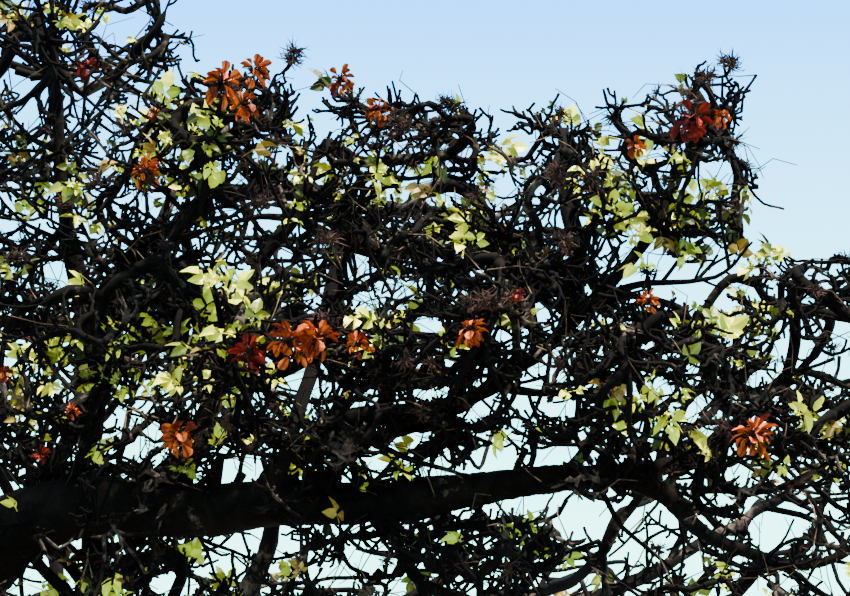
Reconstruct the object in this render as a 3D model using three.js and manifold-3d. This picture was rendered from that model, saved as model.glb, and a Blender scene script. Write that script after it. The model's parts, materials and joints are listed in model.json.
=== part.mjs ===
// A coast coral tree (Erythrina caffra) in flower: a short flared trunk, contorted boughs and a domed crown of knobbly
// twigs with young leaves and orange-red blooms. Millimetres, +Z up, origin in the flat cut under the trunk.

import * as THREE from "three";
import { mergeVertices } from "three/addons/utils/BufferGeometryUtils.js";
import Module from "manifold-3d";

const wasm = await Module();
wasm.setup();
const { Manifold } = wasm;

// Driving sizes of the trunk.
const TRUNK_HEIGHT = 2080;
const TRUNK_RADIUS = 215;
const TRUNK_LEAN = [120, -30];
const LEAN_CURVE = 1.5;
const ROOT_FLARE = 150;
const ROOT_LOBES = 5;
const LOBE_DEPTH = 55;
const FORK_SWELL = 45;
const TRUNK_SWAY = 28;
const BUTT_SWELL = 0.14;
const BUTT_HEIGHT = 1300;
const FLARE_HEIGHT = 190;
const LOBE_TURN = 0.6;
const SWELL_HEIGHT = 1760;
const SWELL_SPAN = 240;
const FLUTES = 3;
const FLUTE_DEPTH = 9;
const FLUTE_PITCH = 420;
const TOP_SHARE = 0.66;
const TRUNK_SIDES = 18;
const TRUNK_RINGS = 9;
const RING_CROWDING = 1.35;

// Sizes that the joints and the foliage share.
const JOINT_GAP = 0.6;
const LIMB_SIDES = 6;
const LIMB_STEPS = 6;
const STEM_SIDES = 4;
const STEM_STEPS = 3;
const TWIG_SIDES = 3;
const TWIG_STEPS = 2;
const TWIG_SHARE = 0.7;
const TWIG_TAPER = 0.4;
const TWIG_TRIES = 4;
const TWIG_REACH = [0.82, 0.1];
const TWIG_RETREAT = 0.14;
const TOPMOST_AIM = 0.92;
const AIM_SPAN = 1.45;
const KNEE_ALONG = 0.14;
const KNEE_OUT = 0.22;
const KNEE_WAVER = 0.16;
const ELBOW_AT = 0.7;
const ELBOW_WAVER = 0.18;
const ELBOW_SAG = 0.07;
const FOLIAGE_TOLERANCE = 1.5;
const FINE_TOLERANCE = 0.25;
const LIMB_CLEARANCE = 9;
const SPACE_MARGIN = 0.07;
const NUDGE = 0.02;
const GOLDEN_ANGLE = Math.PI * (3 - Math.sqrt(5));

// The boughs on the side that the photograph shows: what each grows from and how far along, the points that it bends
// through, and its radius at either end.
const FRONT_BOUGHS = [
  {
    name: "rising_bough",
    from: "trunk",
    start: [150, -90, 1850],
    through: [[250, -560, 2480], [400, -960, 2890], [520, -1200, 3070]],
    radius: [94, 74],
  },
  {
    name: "great_bough",
    from: "rising_bough",
    at: 1,
    through: [[700, -1345, 3135], [930, -1430, 3125], [1180, -1520, 3120], [1400, -1580, 3120]],
    radius: [74, 42],
  },
  {
    name: "outer_bough",
    from: "great_bough",
    at: 1,
    through: [[1670, -1620, 3150], [1800, -1620, 3162], [1925, -1600, 3140]],
    radius: [36, 21],
  },
  {
    name: "low_bough",
    from: "outer_bough",
    at: 1,
    through: [[2030, -1660, 3025], [2205, -1680, 2980], [2350, -1660, 3045]],
    radius: [18, 11],
  },
  {
    name: "edge_bough",
    from: "outer_bough",
    at: 0.72,
    through: [[1985, -1500, 3225], [2100, -1450, 3310], [2200, -1400, 3415], [2330, -1300, 3410]],
    radius: [17, 11],
  },
  {
    name: "fork_bough",
    from: "great_bough",
    at: 0.7,
    through: [[1200, -1620, 3225], [1310, -1680, 3262], [1520, -1720, 3290], [1680, -1700, 3405], [1800, -1660, 3515]],
    radius: [32, 13],
  },
  {
    name: "middle_bough",
    from: "great_bough",
    at: 0.5,
    through: [[1020, -1420, 3355], [1085, -1400, 3590], [1195, -1380, 3780], [1235, -1360, 3910]],
    radius: [24, 10],
  },
  {
    name: "upright_bough",
    from: "trunk",
    start: [190, -40, 1870],
    through: [[520, -480, 2420], [745, -900, 2900], [738, -960, 3220], [720, -1020, 3645]],
    radius: [48, 24],
  },
  {
    name: "upright_top",
    from: "upright_bough",
    at: 1,
    through: [[680, -1040, 3805], [655, -1040, 4060], [610, -1000, 4270]],
    radius: [22, 12],
  },
  {
    name: "diagonal_bough",
    from: "upright_bough",
    at: 0.93,
    through: [[825, -1120, 3715], [985, -1220, 3795]],
    radius: [22, 17],
  },
  {
    name: "leader",
    from: "trunk",
    start: [100, 20, 1880],
    through: [[40, 130, 2700], [-70, 70, 3350], [-10, 20, 3900]],
    radius: [58, 22],
  },
];

// The boughs of the other sides stand round the trunk at even steps. Each forks into an inner bough that rises.
const BACK_BOUGHS = 5;
const BACK_FIRST_DEG = -3;
const BACK_STEP_DEG = 63;
const BACK_SWAY_DEG = 7;
const BACK_START = { radius: 60, height: 1860 };
const FORK_MIDDLE = [105, -20, 0];
const BACK_REACH = [430, 1020, 1700];
const BACK_RISE = [2440, 2960, 3170];
const BACK_RADIUS = [74, 27];
const BACK_LIFTS = [0, 70, -40, 60, -20];
const INNER_AT = 0.62;
const INNER_REACH = [1060, 1160];
const INNER_RISE = [3200, 3510];
const INNER_RADIUS = [34, 19];
const INNER_STEPS = 4;

// The masses of foliage that the photograph shows: the bough that carries each and how far along, its middle, and its
// reach from there along X, Y and Z.
const FRONT_MASSES = [
  { name: "top_left_mass", on: "upright_top", at: 1, centre: [660, -980, 4160], reach: [330, 300, 310] },
  { name: "upper_left_mass", on: "diagonal_bough", at: 1, centre: [1000, -1290, 3860], reach: [300, 290, 250] },
  { name: "left_mass", on: "upright_bough", at: 0.76, centre: [780, -1330, 3450], reach: [330, 270, 310] },
  { name: "near_bloom_mass", on: "middle_bough", at: 0.3, centre: [1180, -1600, 3380], reach: [270, 250, 240] },
  { name: "crest_mass", on: "middle_bough", at: 1, centre: [1360, -1340, 3870], reach: [280, 260, 200] },
  { name: "middle_mass", on: "middle_bough", at: 0.7, centre: [1450, -1430, 3660], reach: [270, 270, 200] },
  { name: "central_mass", on: "fork_bough", at: 0.6, centre: [1560, -1740, 3420], reach: [280, 250, 250] },
  { name: "spray_mass", on: "fork_bough", at: 1, centre: [1970, -1600, 3790], reach: [270, 260, 250] },
  { name: "upper_right_mass", on: "fork_bough", at: 0.93, centre: [1740, -1560, 3720], reach: [300, 260, 250] },
  { name: "edge_mass", on: "edge_bough", at: 0.72, centre: [2200, -1480, 3490], reach: [290, 270, 185] },
  { name: "leafy_mass", on: "outer_bough", at: 0.45, centre: [1830, -1760, 3310], reach: [270, 240, 240] },
  { name: "right_mass", on: "edge_bough", at: 0.4, centre: [2170, -1600, 3240], reach: [280, 250, 200] },
  { name: "under_mass", on: "great_bough", at: 0.95, centre: [1440, -1620, 2950], reach: [340, 260, 190] },
  { name: "low_right_mass", on: "low_bough", at: 0.5, centre: [2040, -1720, 2900], reach: [320, 270, 200] },
  { name: "low_left_mass", on: "great_bough", at: 0.12, centre: [760, -1330, 2940], reach: [320, 260, 200] },
  { name: "inner_front_mass", on: "upright_bough", at: 0.6, centre: [340, -950, 3620], reach: [390, 390, 340] },
  { name: "cleft_mass", on: "fork_bough", at: 0.25, centre: [1350, -1620, 3240], reach: [260, 220, 150] },
  { name: "elbow_mass", on: "great_bough", at: 0.3, centre: [990, -1480, 3260], reach: [230, 230, 140] },
];
const STEM_RISE = 0.5;
const STEM_REACH = 0.5;
const STEM_SAG = 0.08;
const FRONT_STEM = [12, 5];
const FRONT_TWIGS = 6;
const FRONT_LEAF = 105;
const FRONT_BLOOMS = 1;

// The rings of masses on the other sides: a wide outer ring, an inner ring above it and the top.
const OUTER_STAGGER = 40;
const OUTER_STEP_BACK = 0.05;
const TOP_STEP_BACK = 0.06;
const OUTER_RING = { count: 10, firstDeg: -19, stepDeg: 31.5, radius: 2100, height: 3330, reach: [620, 620, 430] };
const INNER_RING = { radius: 1230, height: 3850, reach: [640, 640, 400] };
const TOP_RING = { count: 3, firstDeg: 100, stepDeg: 120, radius: 420, height: 4290, reach: [540, 540, 390] };
const BACK_STEM = [19, 6];
const BACK_TWIGS = 7;
const BACK_LEAF = 165;
const BACK_BLOOMS = 1;

// Colours and finishes.
const BARK = { color: 0x4a4038, roughness: 0.9, metalness: 0 };
const FOLIAGE = { color: 0xa9b545, roughness: 0.6, metalness: 0 };

const vector = (p) => new THREE.Vector3(...p);
const polar = (radius, degrees, height) => {
  const angle = THREE.MathUtils.degToRad(degrees);
  return [radius * Math.cos(angle), radius * Math.sin(angle), height];
};

// A repeatable sequence of numbers between 0 and 1.
function seededRandom(seed) {
  let state = (seed * 7919 + 12345) % 2147483647;
  const next = () => {
    state = (state * 16807) % 2147483647;
    return state / 2147483647;
  };
  next();
  next();
  return next;
}

// A smooth curve through the given points.
function curveThrough(points) {
  return new THREE.CatmullRomCurve3(points.map((p) => (p.isVector3 ? p : vector(p))), false, "catmullrom", 0.5);
}

// A closed mesh as a solid.
function solidFrom(geometry) {
  const bare = new THREE.BufferGeometry().setAttribute("position", geometry.getAttribute("position"));
  bare.setIndex(geometry.index);
  const merged = mergeVertices(bare, 1e-4);
  return new Manifold(
    new wasm.Mesh({
      numProp: 3,
      vertProperties: merged.attributes.position.array,
      triVerts: new Uint32Array(merged.index.array),
    }),
  );
}

// A solid as a mesh geometry. Loose scraps and sealed hollows are dropped by keeping the largest closed surface, and
// corners that lie closer than a hair's breadth are nudged apart so that the surface stays closed when written out.
function geometryFrom(solid) {
  const pieces = solid.simplify(FINE_TOLERANCE).decompose();
  const largest = pieces.reduce((a, b) => (b.volume() > a.volume() ? b : a));
  const mesh = largest.getMesh();
  const corners = new Float32Array(mesh.vertProperties);
  const step = (i, j, axis) => corners[i + axis] - corners[j + axis];
  const apart = (i, j) => Math.hypot(step(i, j, 0), step(i, j, 1), step(i, j, 2));
  for (let i = 3; i < corners.length; i += 3) {
    let j = 0;
    while (j < i) {
      if (apart(i, j) < 0.7 * NUDGE) {
        corners[i] += NUDGE;
        j = 0;
      } else {
        j += 3;
      }
    }
  }
  const geometry = new THREE.BufferGeometry();
  geometry.setAttribute("position", new THREE.BufferAttribute(corners, 3));
  geometry.setIndex(new THREE.BufferAttribute(new Uint32Array(mesh.triVerts), 1));
  geometry.computeVertexNormals();
  return geometry;
}

// A tapering limb: a cylinder whose rings are carried onto a curve. grow swells it and lengthens its ends, which makes
// the cutter that leaves a joint's gap. A tip radius of 0 gives a pointed end.
function limbSolid({ curve, radius, sides, steps }, grow = 0) {
  const pointed = radius[1] + grow === 0;
  const geometry = new THREE.CylinderGeometry(pointed ? 0 : 1, 1, 1, sides, steps);
  const rings = [];
  let across = null;
  for (let i = 0; i <= steps; i++) {
    const t = i / steps;
    const centre = curve.getPoint(t);
    const along = curve.getTangent(t);
    if (!across) across = Math.abs(along.z) > 0.9 ? new THREE.Vector3(1, 0, 0) : new THREE.Vector3(0, 0, 1);
    across = across.clone().addScaledVector(along, -across.dot(along)).normalize();
    if (i === 0) centre.addScaledVector(along, -grow);
    if (i === steps) centre.addScaledVector(along, grow);
    const size = radius[0] + (radius[1] - radius[0]) * t + grow;
    rings.push({ centre, across, beside: across.clone().cross(along).negate(), size });
  }
  const position = geometry.getAttribute("position");
  for (let i = 0; i < position.count; i++) {
    const ring = rings[Math.round((position.getY(i) + 0.5) * steps)];
    const point = ring.centre.clone();
    point.addScaledVector(ring.beside, position.getX(i) * ring.size);
    point.addScaledVector(ring.across, position.getZ(i) * ring.size);
    position.setXYZ(i, point.x, point.y, point.z);
  }
  return solidFrom(geometry);
}

// A place on a limb as it is built, on the straight line between two of its rings.
function pointOn({ curve, steps }, t) {
  const ring = Math.min(steps - 1, Math.floor(t * steps));
  return curve.getPoint(ring / steps).lerp(curve.getPoint((ring + 1) / steps), t * steps - ring);
}

// The trunk's leaning axis at a height.
function trunkAxis(height) {
  const share = Math.pow(height / TRUNK_HEIGHT, LEAN_CURVE);
  const sway = TRUNK_SWAY * Math.sin((Math.PI * height) / TRUNK_HEIGHT);
  return [TRUNK_LEAN[0] * share - sway, TRUNK_LEAN[1] * share + sway];
}

// The trunk's radius at a height and angle: the flare and lobes of the roots, then the swelling under the fork.
function trunkRadius(height, angle) {
  const taper = TRUNK_RADIUS * (1 + BUTT_SWELL * (1 - Math.min(1, height / BUTT_HEIGHT)));
  const lobes = LOBE_DEPTH * Math.cos(ROOT_LOBES * angle + LOBE_TURN);
  const flare = (ROOT_FLARE + lobes) * Math.exp(-height / FLARE_HEIGHT);
  const swell = FORK_SWELL * Math.exp(-Math.pow((height - SWELL_HEIGHT) / SWELL_SPAN, 2));
  const flutes = FLUTE_DEPTH * Math.cos(FLUTES * angle + height / FLUTE_PITCH);
  return taper + flare + swell + flutes;
}

function trunkSolid(grow = 0) {
  const geometry = new THREE.CylinderGeometry(1, 1, 1, TRUNK_SIDES, TRUNK_RINGS);
  const position = geometry.getAttribute("position");
  for (let i = 0; i < position.count; i++) {
    const share = position.getY(i) + 0.5;
    const height = TRUNK_HEIGHT * Math.pow(share, RING_CROWDING);
    const angle = Math.atan2(position.getX(i), position.getZ(i));
    const reach = Math.hypot(position.getX(i), position.getZ(i));
    const rounded = share > 0.99 ? TOP_SHARE : 1;
    const radius = reach * (trunkRadius(height, angle) * rounded + grow);
    const [x, y] = trunkAxis(height);
    const rise = share > 0.99 ? grow : share < 0.01 ? -grow : 0;
    position.setXYZ(i, x + radius * Math.cos(angle), y + radius * Math.sin(angle), height + rise);
  }
  return solidFrom(geometry);
}

// Every limb by name, with the curve that it follows.
const limbs = new Map();

function addLimb({ name, from, at = 0, start, through, radius, sides = LIMB_SIDES, steps = LIMB_STEPS }) {
  const parent = limbs.get(from);
  const first = start ? vector(start) : pointOn(parent, at);
  const curve = curveThrough([first, ...through]);
  limbs.set(name, { name, from, curve, radius, sides, steps });
}

FRONT_BOUGHS.forEach(addLimb);
for (let i = 0; i < BACK_BOUGHS; i++) {
  const degrees = BACK_FIRST_DEG + i * BACK_STEP_DEG;
  const lift = BACK_LIFTS[i];
  const sway = i % 2 ? BACK_SWAY_DEG : -BACK_SWAY_DEG;
  addLimb({
    name: `back_bough_${i + 1}`,
    from: "trunk",
    start: vector(polar(BACK_START.radius, degrees, BACK_START.height)).add(vector(FORK_MIDDLE)),
    through: BACK_REACH.map((reach, k) => {
      const rise = BACK_RISE[k] + (lift * (k + 1)) / BACK_REACH.length;
      return polar(reach, degrees + sway * (1 - k), rise);
    }),
    radius: BACK_RADIUS,
  });
  addLimb({
    name: `inner_bough_${i + 1}`,
    from: `back_bough_${i + 1}`,
    at: INNER_AT,
    through: INNER_REACH.map((reach, k) => polar(reach, degrees + sway * k, INNER_RISE[k] + lift)),
    radius: INNER_RADIUS,
    steps: INNER_STEPS,
  });
}

// Every mass of foliage, with the space that it keeps to.
const masses = [];

function addMass({ name, on, at, centre, reach, stem, twigs, leaf, blooms }) {
  const middle = vector(centre);
  const start = pointOn(limbs.get(on), at);
  const outward = middle.clone().sub(start).normalize().add(new THREE.Vector3(0, 0, STEM_RISE)).normalize();
  const end = middle.clone().add(outward.multiply(vector(reach)).multiplyScalar(STEM_REACH));
  const bend = start.clone().lerp(middle, 0.5).add(new THREE.Vector3(0, 0, -STEM_SAG * start.distanceTo(middle)));
  const curve = curveThrough([start, bend, middle, end]);
  const spread = vector(reach);
  const order = masses.length + 1;
  const shape = { curve, radius: stem, sides: STEM_SIDES, steps: STEM_STEPS };
  masses.push({ name, on, order, middle, spread, ...shape, twigs, leaf, blooms });
}

const front = { stem: FRONT_STEM, twigs: FRONT_TWIGS, leaf: FRONT_LEAF, blooms: FRONT_BLOOMS };
const back = { stem: BACK_STEM, twigs: BACK_TWIGS, leaf: BACK_LEAF, blooms: BACK_BLOOMS };
FRONT_MASSES.forEach((mass) => addMass({ ...mass, ...front }));
for (let i = 0; i < OUTER_RING.count; i++) {
  const { firstDeg, stepDeg, radius, height, reach } = OUTER_RING;
  const lift = BACK_LIFTS[Math.floor(i / 2)];
  const stagger = i % 2 ? OUTER_STAGGER : -OUTER_STAGGER;
  const centre = polar(radius + stagger, firstDeg + i * stepDeg, height + lift);
  const on = `back_bough_${Math.floor(i / 2) + 1}`;
  addMass({ name: `outer_mass_${i + 1}`, on, at: 1 - OUTER_STEP_BACK * (i % 2), centre, reach, ...back });
}
for (let i = 0; i < BACK_BOUGHS; i++) {
  const { radius, height, reach } = INNER_RING;
  const centre = polar(radius, BACK_FIRST_DEG + i * BACK_STEP_DEG, height + BACK_LIFTS[i]);
  addMass({ name: `inner_mass_${i + 1}`, on: `inner_bough_${i + 1}`, at: 1, centre, reach, ...back });
}
for (let i = 0; i < TOP_RING.count; i++) {
  const { firstDeg, stepDeg, radius, height, reach } = TOP_RING;
  const centre = polar(radius, firstDeg + i * stepDeg, height);
  addMass({ name: `top_mass_${i + 1}`, on: "leader", at: 1 - TOP_STEP_BACK * i, centre, reach, ...back });
}

// How far out in a mass's space a point lies: 0 at its middle, 1 at its edge.
function depthIn(mass, point) {
  return point.clone().sub(mass.middle).divide(mass.spread).length();
}

// True where a point is inside a mass's own space and outside the spaces of the others.
function inSpace(mass, point) {
  const own = depthIn(mass, point);
  return own < 1 && masses.every((other) => other === mass || depthIn(other, point) > own + SPACE_MARGIN);
}

// The straight stretches of every limb and stem, which foliage keeps clear of.
const STRETCHES = 12;
const stretches = [...limbs.values(), ...masses].flatMap((limb) =>
  Array.from({ length: STRETCHES }, (_, i) => {
    const [a, b] = [i / STRETCHES, (i + 1) / STRETCHES];
    const size = limb.radius[0] + (limb.radius[1] - limb.radius[0]) * a;
    return { limb, line: new THREE.Line3(limb.curve.getPoint(a), limb.curve.getPoint(b)), size };
  }),
);
const nearest = new THREE.Vector3();
function touchesLimb(mass, point, clearance) {
  return stretches.some(({ limb, line, size }) => {
    if (limb === mass) return false;
    line.closestPointToPoint(point, true, nearest);
    return nearest.distanceTo(point) < size + clearance;
  });
}

// A twig from the nearest place on what has grown already towards its own share of the space. It leaves along its
// parent, sags, and turns up to its tip. Nothing grows where it would leave the space or touch a limb.
function growTwig(mass, places, aim, share, random) {
  const tip = mass.middle.clone().add(aim.clone().multiply(mass.spread).multiplyScalar(share));
  const root = places.reduce((a, b) => (b.point.distanceTo(tip) < a.point.distanceTo(tip) ? b : a));
  const length = root.point.distanceTo(tip);
  const straight = tip.clone().sub(root.point).normalize();
  const waver = () => new THREE.Vector3(random() - 0.5, random() - 0.5, random() - 0.5);
  const knee = root.point.clone().addScaledVector(root.along, KNEE_ALONG * length);
  knee.addScaledVector(straight, KNEE_OUT * length).addScaledVector(waver(), KNEE_WAVER * length);
  const elbow = root.point.clone().lerp(tip, ELBOW_AT).addScaledVector(waver(), ELBOW_WAVER * length);
  elbow.z -= ELBOW_SAG * length;
  const curve = curveThrough([root.point, knee, elbow, tip]);
  const samples = [0.3, 0.5, 0.7, 0.85, 1].map((t) => curve.getPoint(t));
  if (!samples.every((p) => inSpace(mass, p) && !touchesLimb(mass, p, LIMB_CLEARANCE))) return null;
  const base = TWIG_SHARE * root.size;
  return { curve, radius: [base, TWIG_TAPER * base], sides: TWIG_SIDES, steps: TWIG_STEPS };
}

// The twigs of a mass, aimed evenly all round its space from the top down. One that doesn't fit is tried again shorter.
function growTwigs(mass) {
  const random = seededRandom(mass.order);
  const turn = random() * 2 * Math.PI;
  const places = [];
  const addPlaces = (limb, shares) => {
    for (const t of shares) {
      const size = limb.radius[0] + (limb.radius[1] - limb.radius[0]) * t;
      places.push({ point: pointOn(limb, t), along: limb.curve.getTangent(t), size });
    }
  };
  addPlaces(mass, [0.4, 0.5, 0.6, 0.7, 0.8, 0.9, 1]);
  const twigs = [];
  for (let k = 0; k < mass.twigs; k++) {
    const rise = TOPMOST_AIM - (AIM_SPAN * (k + 0.5)) / mass.twigs;
    const angle = turn + k * GOLDEN_ANGLE;
    const level = Math.sqrt(1 - rise * rise);
    const aim = new THREE.Vector3(level * Math.cos(angle), level * Math.sin(angle), rise);
    let twig = null;
    for (let attempt = 0; attempt < TWIG_TRIES && !twig; attempt++) {
      const share = TWIG_REACH[0] + TWIG_REACH[1] * random() - TWIG_RETREAT * attempt;
      twig = growTwig(mass, places, aim, share, random);
    }
    if (!twig) continue;
    twigs.push(twig);
    addPlaces(twig, [0.45, 0.7, 0.9]);
  }
  return twigs;
}

// A blade of eight faces from its root towards a direction: broadest half way along, and thin.
const BROADEST = 0.5;
const LEAF_BREADTH = 0.56;
const LEAF_THICKNESS = 0.03;
const LEAF_HALF_SPACE = 0.28;
const LEAF_CLEARANCE = 0.3;
const LEAF_PLACES = [0.6, 0.92];
const LEAF_ALONG = 0.5;
const LEAF_RISE = [0.35, 0.3];
const LEAF_TILT = 0.3;
const LEAF_LENGTHS = [0.85, 0.3];
function bladeSolid(root, along, up, length, breadth, thickness) {
  const side = up.clone().cross(along).normalize();
  const face = along.clone().cross(side).normalize();
  const geometry = new THREE.OctahedronGeometry(1);
  const position = geometry.getAttribute("position");
  for (let i = 0; i < position.count; i++) {
    const end = position.getX(i);
    const reach = end > 0.5 ? length : end < -0.5 ? 0 : BROADEST * length;
    const point = root.clone().addScaledVector(along, reach);
    point.addScaledVector(side, (position.getY(i) * breadth) / 2);
    point.addScaledVector(face, (position.getZ(i) * thickness) / 2);
    position.setXYZ(i, point.x, point.y, point.z);
  }
  return solidFrom(geometry);
}

// Leaves near the ends of the twigs. A leaf that would leave the mass's space or touch a limb is left off.
function leafSolids(mass, twigs) {
  const random = seededRandom(mass.order + 500);
  const leaves = [];
  twigs.forEach((twig, k) => {
    for (const t of k % 2 ? LEAF_PLACES.slice(1) : LEAF_PLACES) {
      const spin = random() * 2 * Math.PI;
      const along = twig.curve.getTangent(t).multiplyScalar(LEAF_ALONG);
      const rise = LEAF_RISE[0] + LEAF_RISE[1] * random();
      along.add(new THREE.Vector3(Math.cos(spin), Math.sin(spin), rise)).normalize();
      const root = pointOn(twig, t);
      const length = mass.leaf * (LEAF_LENGTHS[0] + LEAF_LENGTHS[1] * random());
      const up = new THREE.Vector3(LEAF_TILT * Math.cos(spin * 3), LEAF_TILT * Math.sin(spin * 3), 1);
      const side = along.clone().cross(up).normalize();
      const probes = [0.5, 0.75, 1].map((s) => root.clone().addScaledVector(along, s * length));
      for (const s of [-LEAF_HALF_SPACE, LEAF_HALF_SPACE]) {
        probes.push(probes[0].clone().addScaledVector(side, s * length));
      }
      const clearance = LIMB_CLEARANCE + LEAF_CLEARANCE * length;
      if (!probes.every((p) => inSpace(mass, p) && !touchesLimb(mass, p, clearance))) continue;
      leaves.push(bladeSolid(root, along, up, length, LEAF_BREADTH * length, LEAF_THICKNESS * length));
    }
  });
  return leaves;
}

// Blooms at the ends of the highest twigs: a star of petals round a woody heart, folded out of a sphere of two rows.
const BLOOM_PETALS = 6;
const BLOOM_RADIUS = 66;
const HEART_RADIUS = 20;
const HEART_HALF_LENGTH = 26;
const PETAL_LIFT = 0.2;
function bloomSolids(mass, twigs) {
  const height = (twig) => twig.curve.getPoint(1).z;
  const highest = [...twigs].sort((a, b) => height(b) - height(a)).slice(0, mass.blooms);
  return highest.flatMap((twig) => {
    const axis = twig.curve.getTangent(1);
    const middle = twig.curve.getPoint(1);
    if (touchesLimb(mass, middle, BLOOM_RADIUS) || !inSpace(mass, middle)) return [];
    const across = new THREE.Vector3(0, 0, 1).cross(axis).normalize();
    const beside = across.clone().cross(axis);
    const geometry = new THREE.SphereGeometry(1, 2 * BLOOM_PETALS, 2);
    const position = geometry.getAttribute("position");
    for (let i = 0; i < position.count; i++) {
      const turn = Math.atan2(position.getZ(i), position.getX(i));
      const rim = Math.abs(position.getY(i)) < 0.5;
      const petal = Math.cos(turn * BLOOM_PETALS) > 0;
      const reach = rim ? (petal ? BLOOM_RADIUS : HEART_RADIUS) : 0;
      const point = middle.clone().addScaledVector(across, reach * Math.cos(turn));
      point.addScaledVector(beside, reach * Math.sin(turn));
      const rise = petal ? PETAL_LIFT * BLOOM_RADIUS : 0;
      point.addScaledVector(axis, rim ? rise : position.getY(i) * HEART_HALF_LENGTH);
      position.setXYZ(i, point.x, point.y, point.z);
    }
    return [solidFrom(geometry)];
  });
}

// The tree. Each limb and stem is cut clear of what carries it and of what grew from there before it.
const tree = new THREE.Group();
tree.name = "coast_coral_tree";

function addMesh(name, solid, finish) {
  const mesh = new THREE.Mesh(geometryFrom(solid), new THREE.MeshStandardMaterial(finish));
  mesh.name = name;
  tree.add(mesh);
}

addMesh("trunk", trunkSolid(), BARK);
const trunkCutter = trunkSolid(JOINT_GAP);
const grown = [];
for (const limb of limbs.values()) {
  const cutters = grown
    .filter((other) => other.name === limb.from || other.from === limb.from)
    .map((other) => limbSolid(other, JOINT_GAP));
  if (limb.from === "trunk") cutters.push(trunkCutter);
  addMesh(limb.name, limbSolid(limb).subtract(Manifold.union(cutters)), BARK);
  grown.push(limb);
}

for (const mass of masses) {
  const twigs = growTwigs(mass);
  const solids = [limbSolid(mass), ...twigs.map((twig) => limbSolid(twig))];
  solids.push(...leafSolids(mass, twigs), ...bloomSolids(mass, twigs));
  const neighbours = grown.filter((other) => [other.name, other.from, other.on].includes(mass.on));
  const cutters = neighbours.map((other) => limbSolid(other, JOINT_GAP));
  const joined = Manifold.union(solids).simplify(FOLIAGE_TOLERANCE);
  addMesh(mass.name, joined.subtract(Manifold.union(cutters)), FOLIAGE);
  grown.push(mass);
}

export default tree;
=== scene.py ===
import json
import math
from dataclasses import dataclass, field

import bmesh
import bpy
import numpy as np
from mathutils import Matrix, Vector, noise

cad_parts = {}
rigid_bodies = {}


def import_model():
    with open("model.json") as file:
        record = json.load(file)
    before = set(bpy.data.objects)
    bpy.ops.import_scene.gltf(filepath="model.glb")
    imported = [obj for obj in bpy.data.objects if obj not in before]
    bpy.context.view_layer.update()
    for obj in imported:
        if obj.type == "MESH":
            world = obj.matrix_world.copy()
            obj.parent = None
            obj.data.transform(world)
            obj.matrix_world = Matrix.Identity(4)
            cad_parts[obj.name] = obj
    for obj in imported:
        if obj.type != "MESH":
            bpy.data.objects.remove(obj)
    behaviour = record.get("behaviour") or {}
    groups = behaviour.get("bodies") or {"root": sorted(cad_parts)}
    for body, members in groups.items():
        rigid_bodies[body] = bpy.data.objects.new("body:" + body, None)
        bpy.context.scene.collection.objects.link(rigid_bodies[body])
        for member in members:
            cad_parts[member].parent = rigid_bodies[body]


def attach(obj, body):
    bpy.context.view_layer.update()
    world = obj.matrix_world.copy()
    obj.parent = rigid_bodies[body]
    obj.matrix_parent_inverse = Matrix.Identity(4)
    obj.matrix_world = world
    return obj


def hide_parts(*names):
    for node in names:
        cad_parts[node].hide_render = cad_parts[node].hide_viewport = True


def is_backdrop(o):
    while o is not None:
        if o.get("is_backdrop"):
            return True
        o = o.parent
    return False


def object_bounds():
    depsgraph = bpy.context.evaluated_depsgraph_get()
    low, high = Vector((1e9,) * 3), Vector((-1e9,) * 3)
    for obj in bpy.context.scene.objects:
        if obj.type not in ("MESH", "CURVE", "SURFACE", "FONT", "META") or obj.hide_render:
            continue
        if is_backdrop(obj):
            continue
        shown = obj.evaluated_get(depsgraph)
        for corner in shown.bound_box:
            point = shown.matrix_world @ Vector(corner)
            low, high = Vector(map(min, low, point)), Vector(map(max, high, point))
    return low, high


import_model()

cad_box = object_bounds()

# The viewpoint: a camera near the ground in front of the tree looks up at the right front of the crown, close
# enough that the picture is 1.73 m wide there. One soft sun, a pale even sky and a plain pale floor, and
# nothing else.
VIEW_FROM = Vector((1.45, -11.1, 1.55))
VIEW_AT = Vector((1.45, -1.5, 3.55))
VIEW_WIDTH = 1.73
PICTURE = (850, 596)
SUN_TOWARDS = Vector((-0.32, 0.2, -0.93))
SKY_TONES = (
    (0.06, (0.78, 1.12, 1.2, 1)), (0.15, (0.62, 2.2, 2.0, 1)),
    (0.27, (0.0, 0.56, 1.9, 1)), (0.4, (0.42, 0.48, 0.55, 1)),
)


def new_object(name, data):
    made = bpy.data.objects.new(name, data)
    bpy.context.scene.collection.objects.link(made)
    return made


def feed(node, values):
    """Sets the node's inputs. A value that is another node's output is linked."""
    for socket, value in values.items():
        if isinstance(value, bpy.types.NodeSocket):
            node.id_data.links.new(value, node.inputs[socket])
        else:
            node.inputs[socket].default_value = value


def add(tree, kind, values=None, out=0, **settings):
    """Adds a node to the tree, and gives one of its outputs."""
    node = tree.nodes.new(kind)
    for key, value in settings.items():
        setattr(node, key, value)
    feed(node, values or {})
    return node.outputs[out]


def ramp(tree, factor, *stops):
    """A colour ramp through the stops, each a position and a colour."""
    tones = add(tree, "ShaderNodeValToRGB", {"Fac": factor})
    elements = tones.node.color_ramp.elements
    for index, (position, colour) in enumerate(stops):
        element = elements[index] if index < 2 else elements.new(position)
        element.position = position
        element.color = colour
    return tones


def new_finish(name, values):
    """A material whose surface takes the values, its tree and its surface."""
    finish = bpy.data.materials.new(name)
    finish.use_nodes = True
    surface = finish.node_tree.nodes["Principled BSDF"]
    feed(surface, values)
    return finish, finish.node_tree, surface


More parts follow.
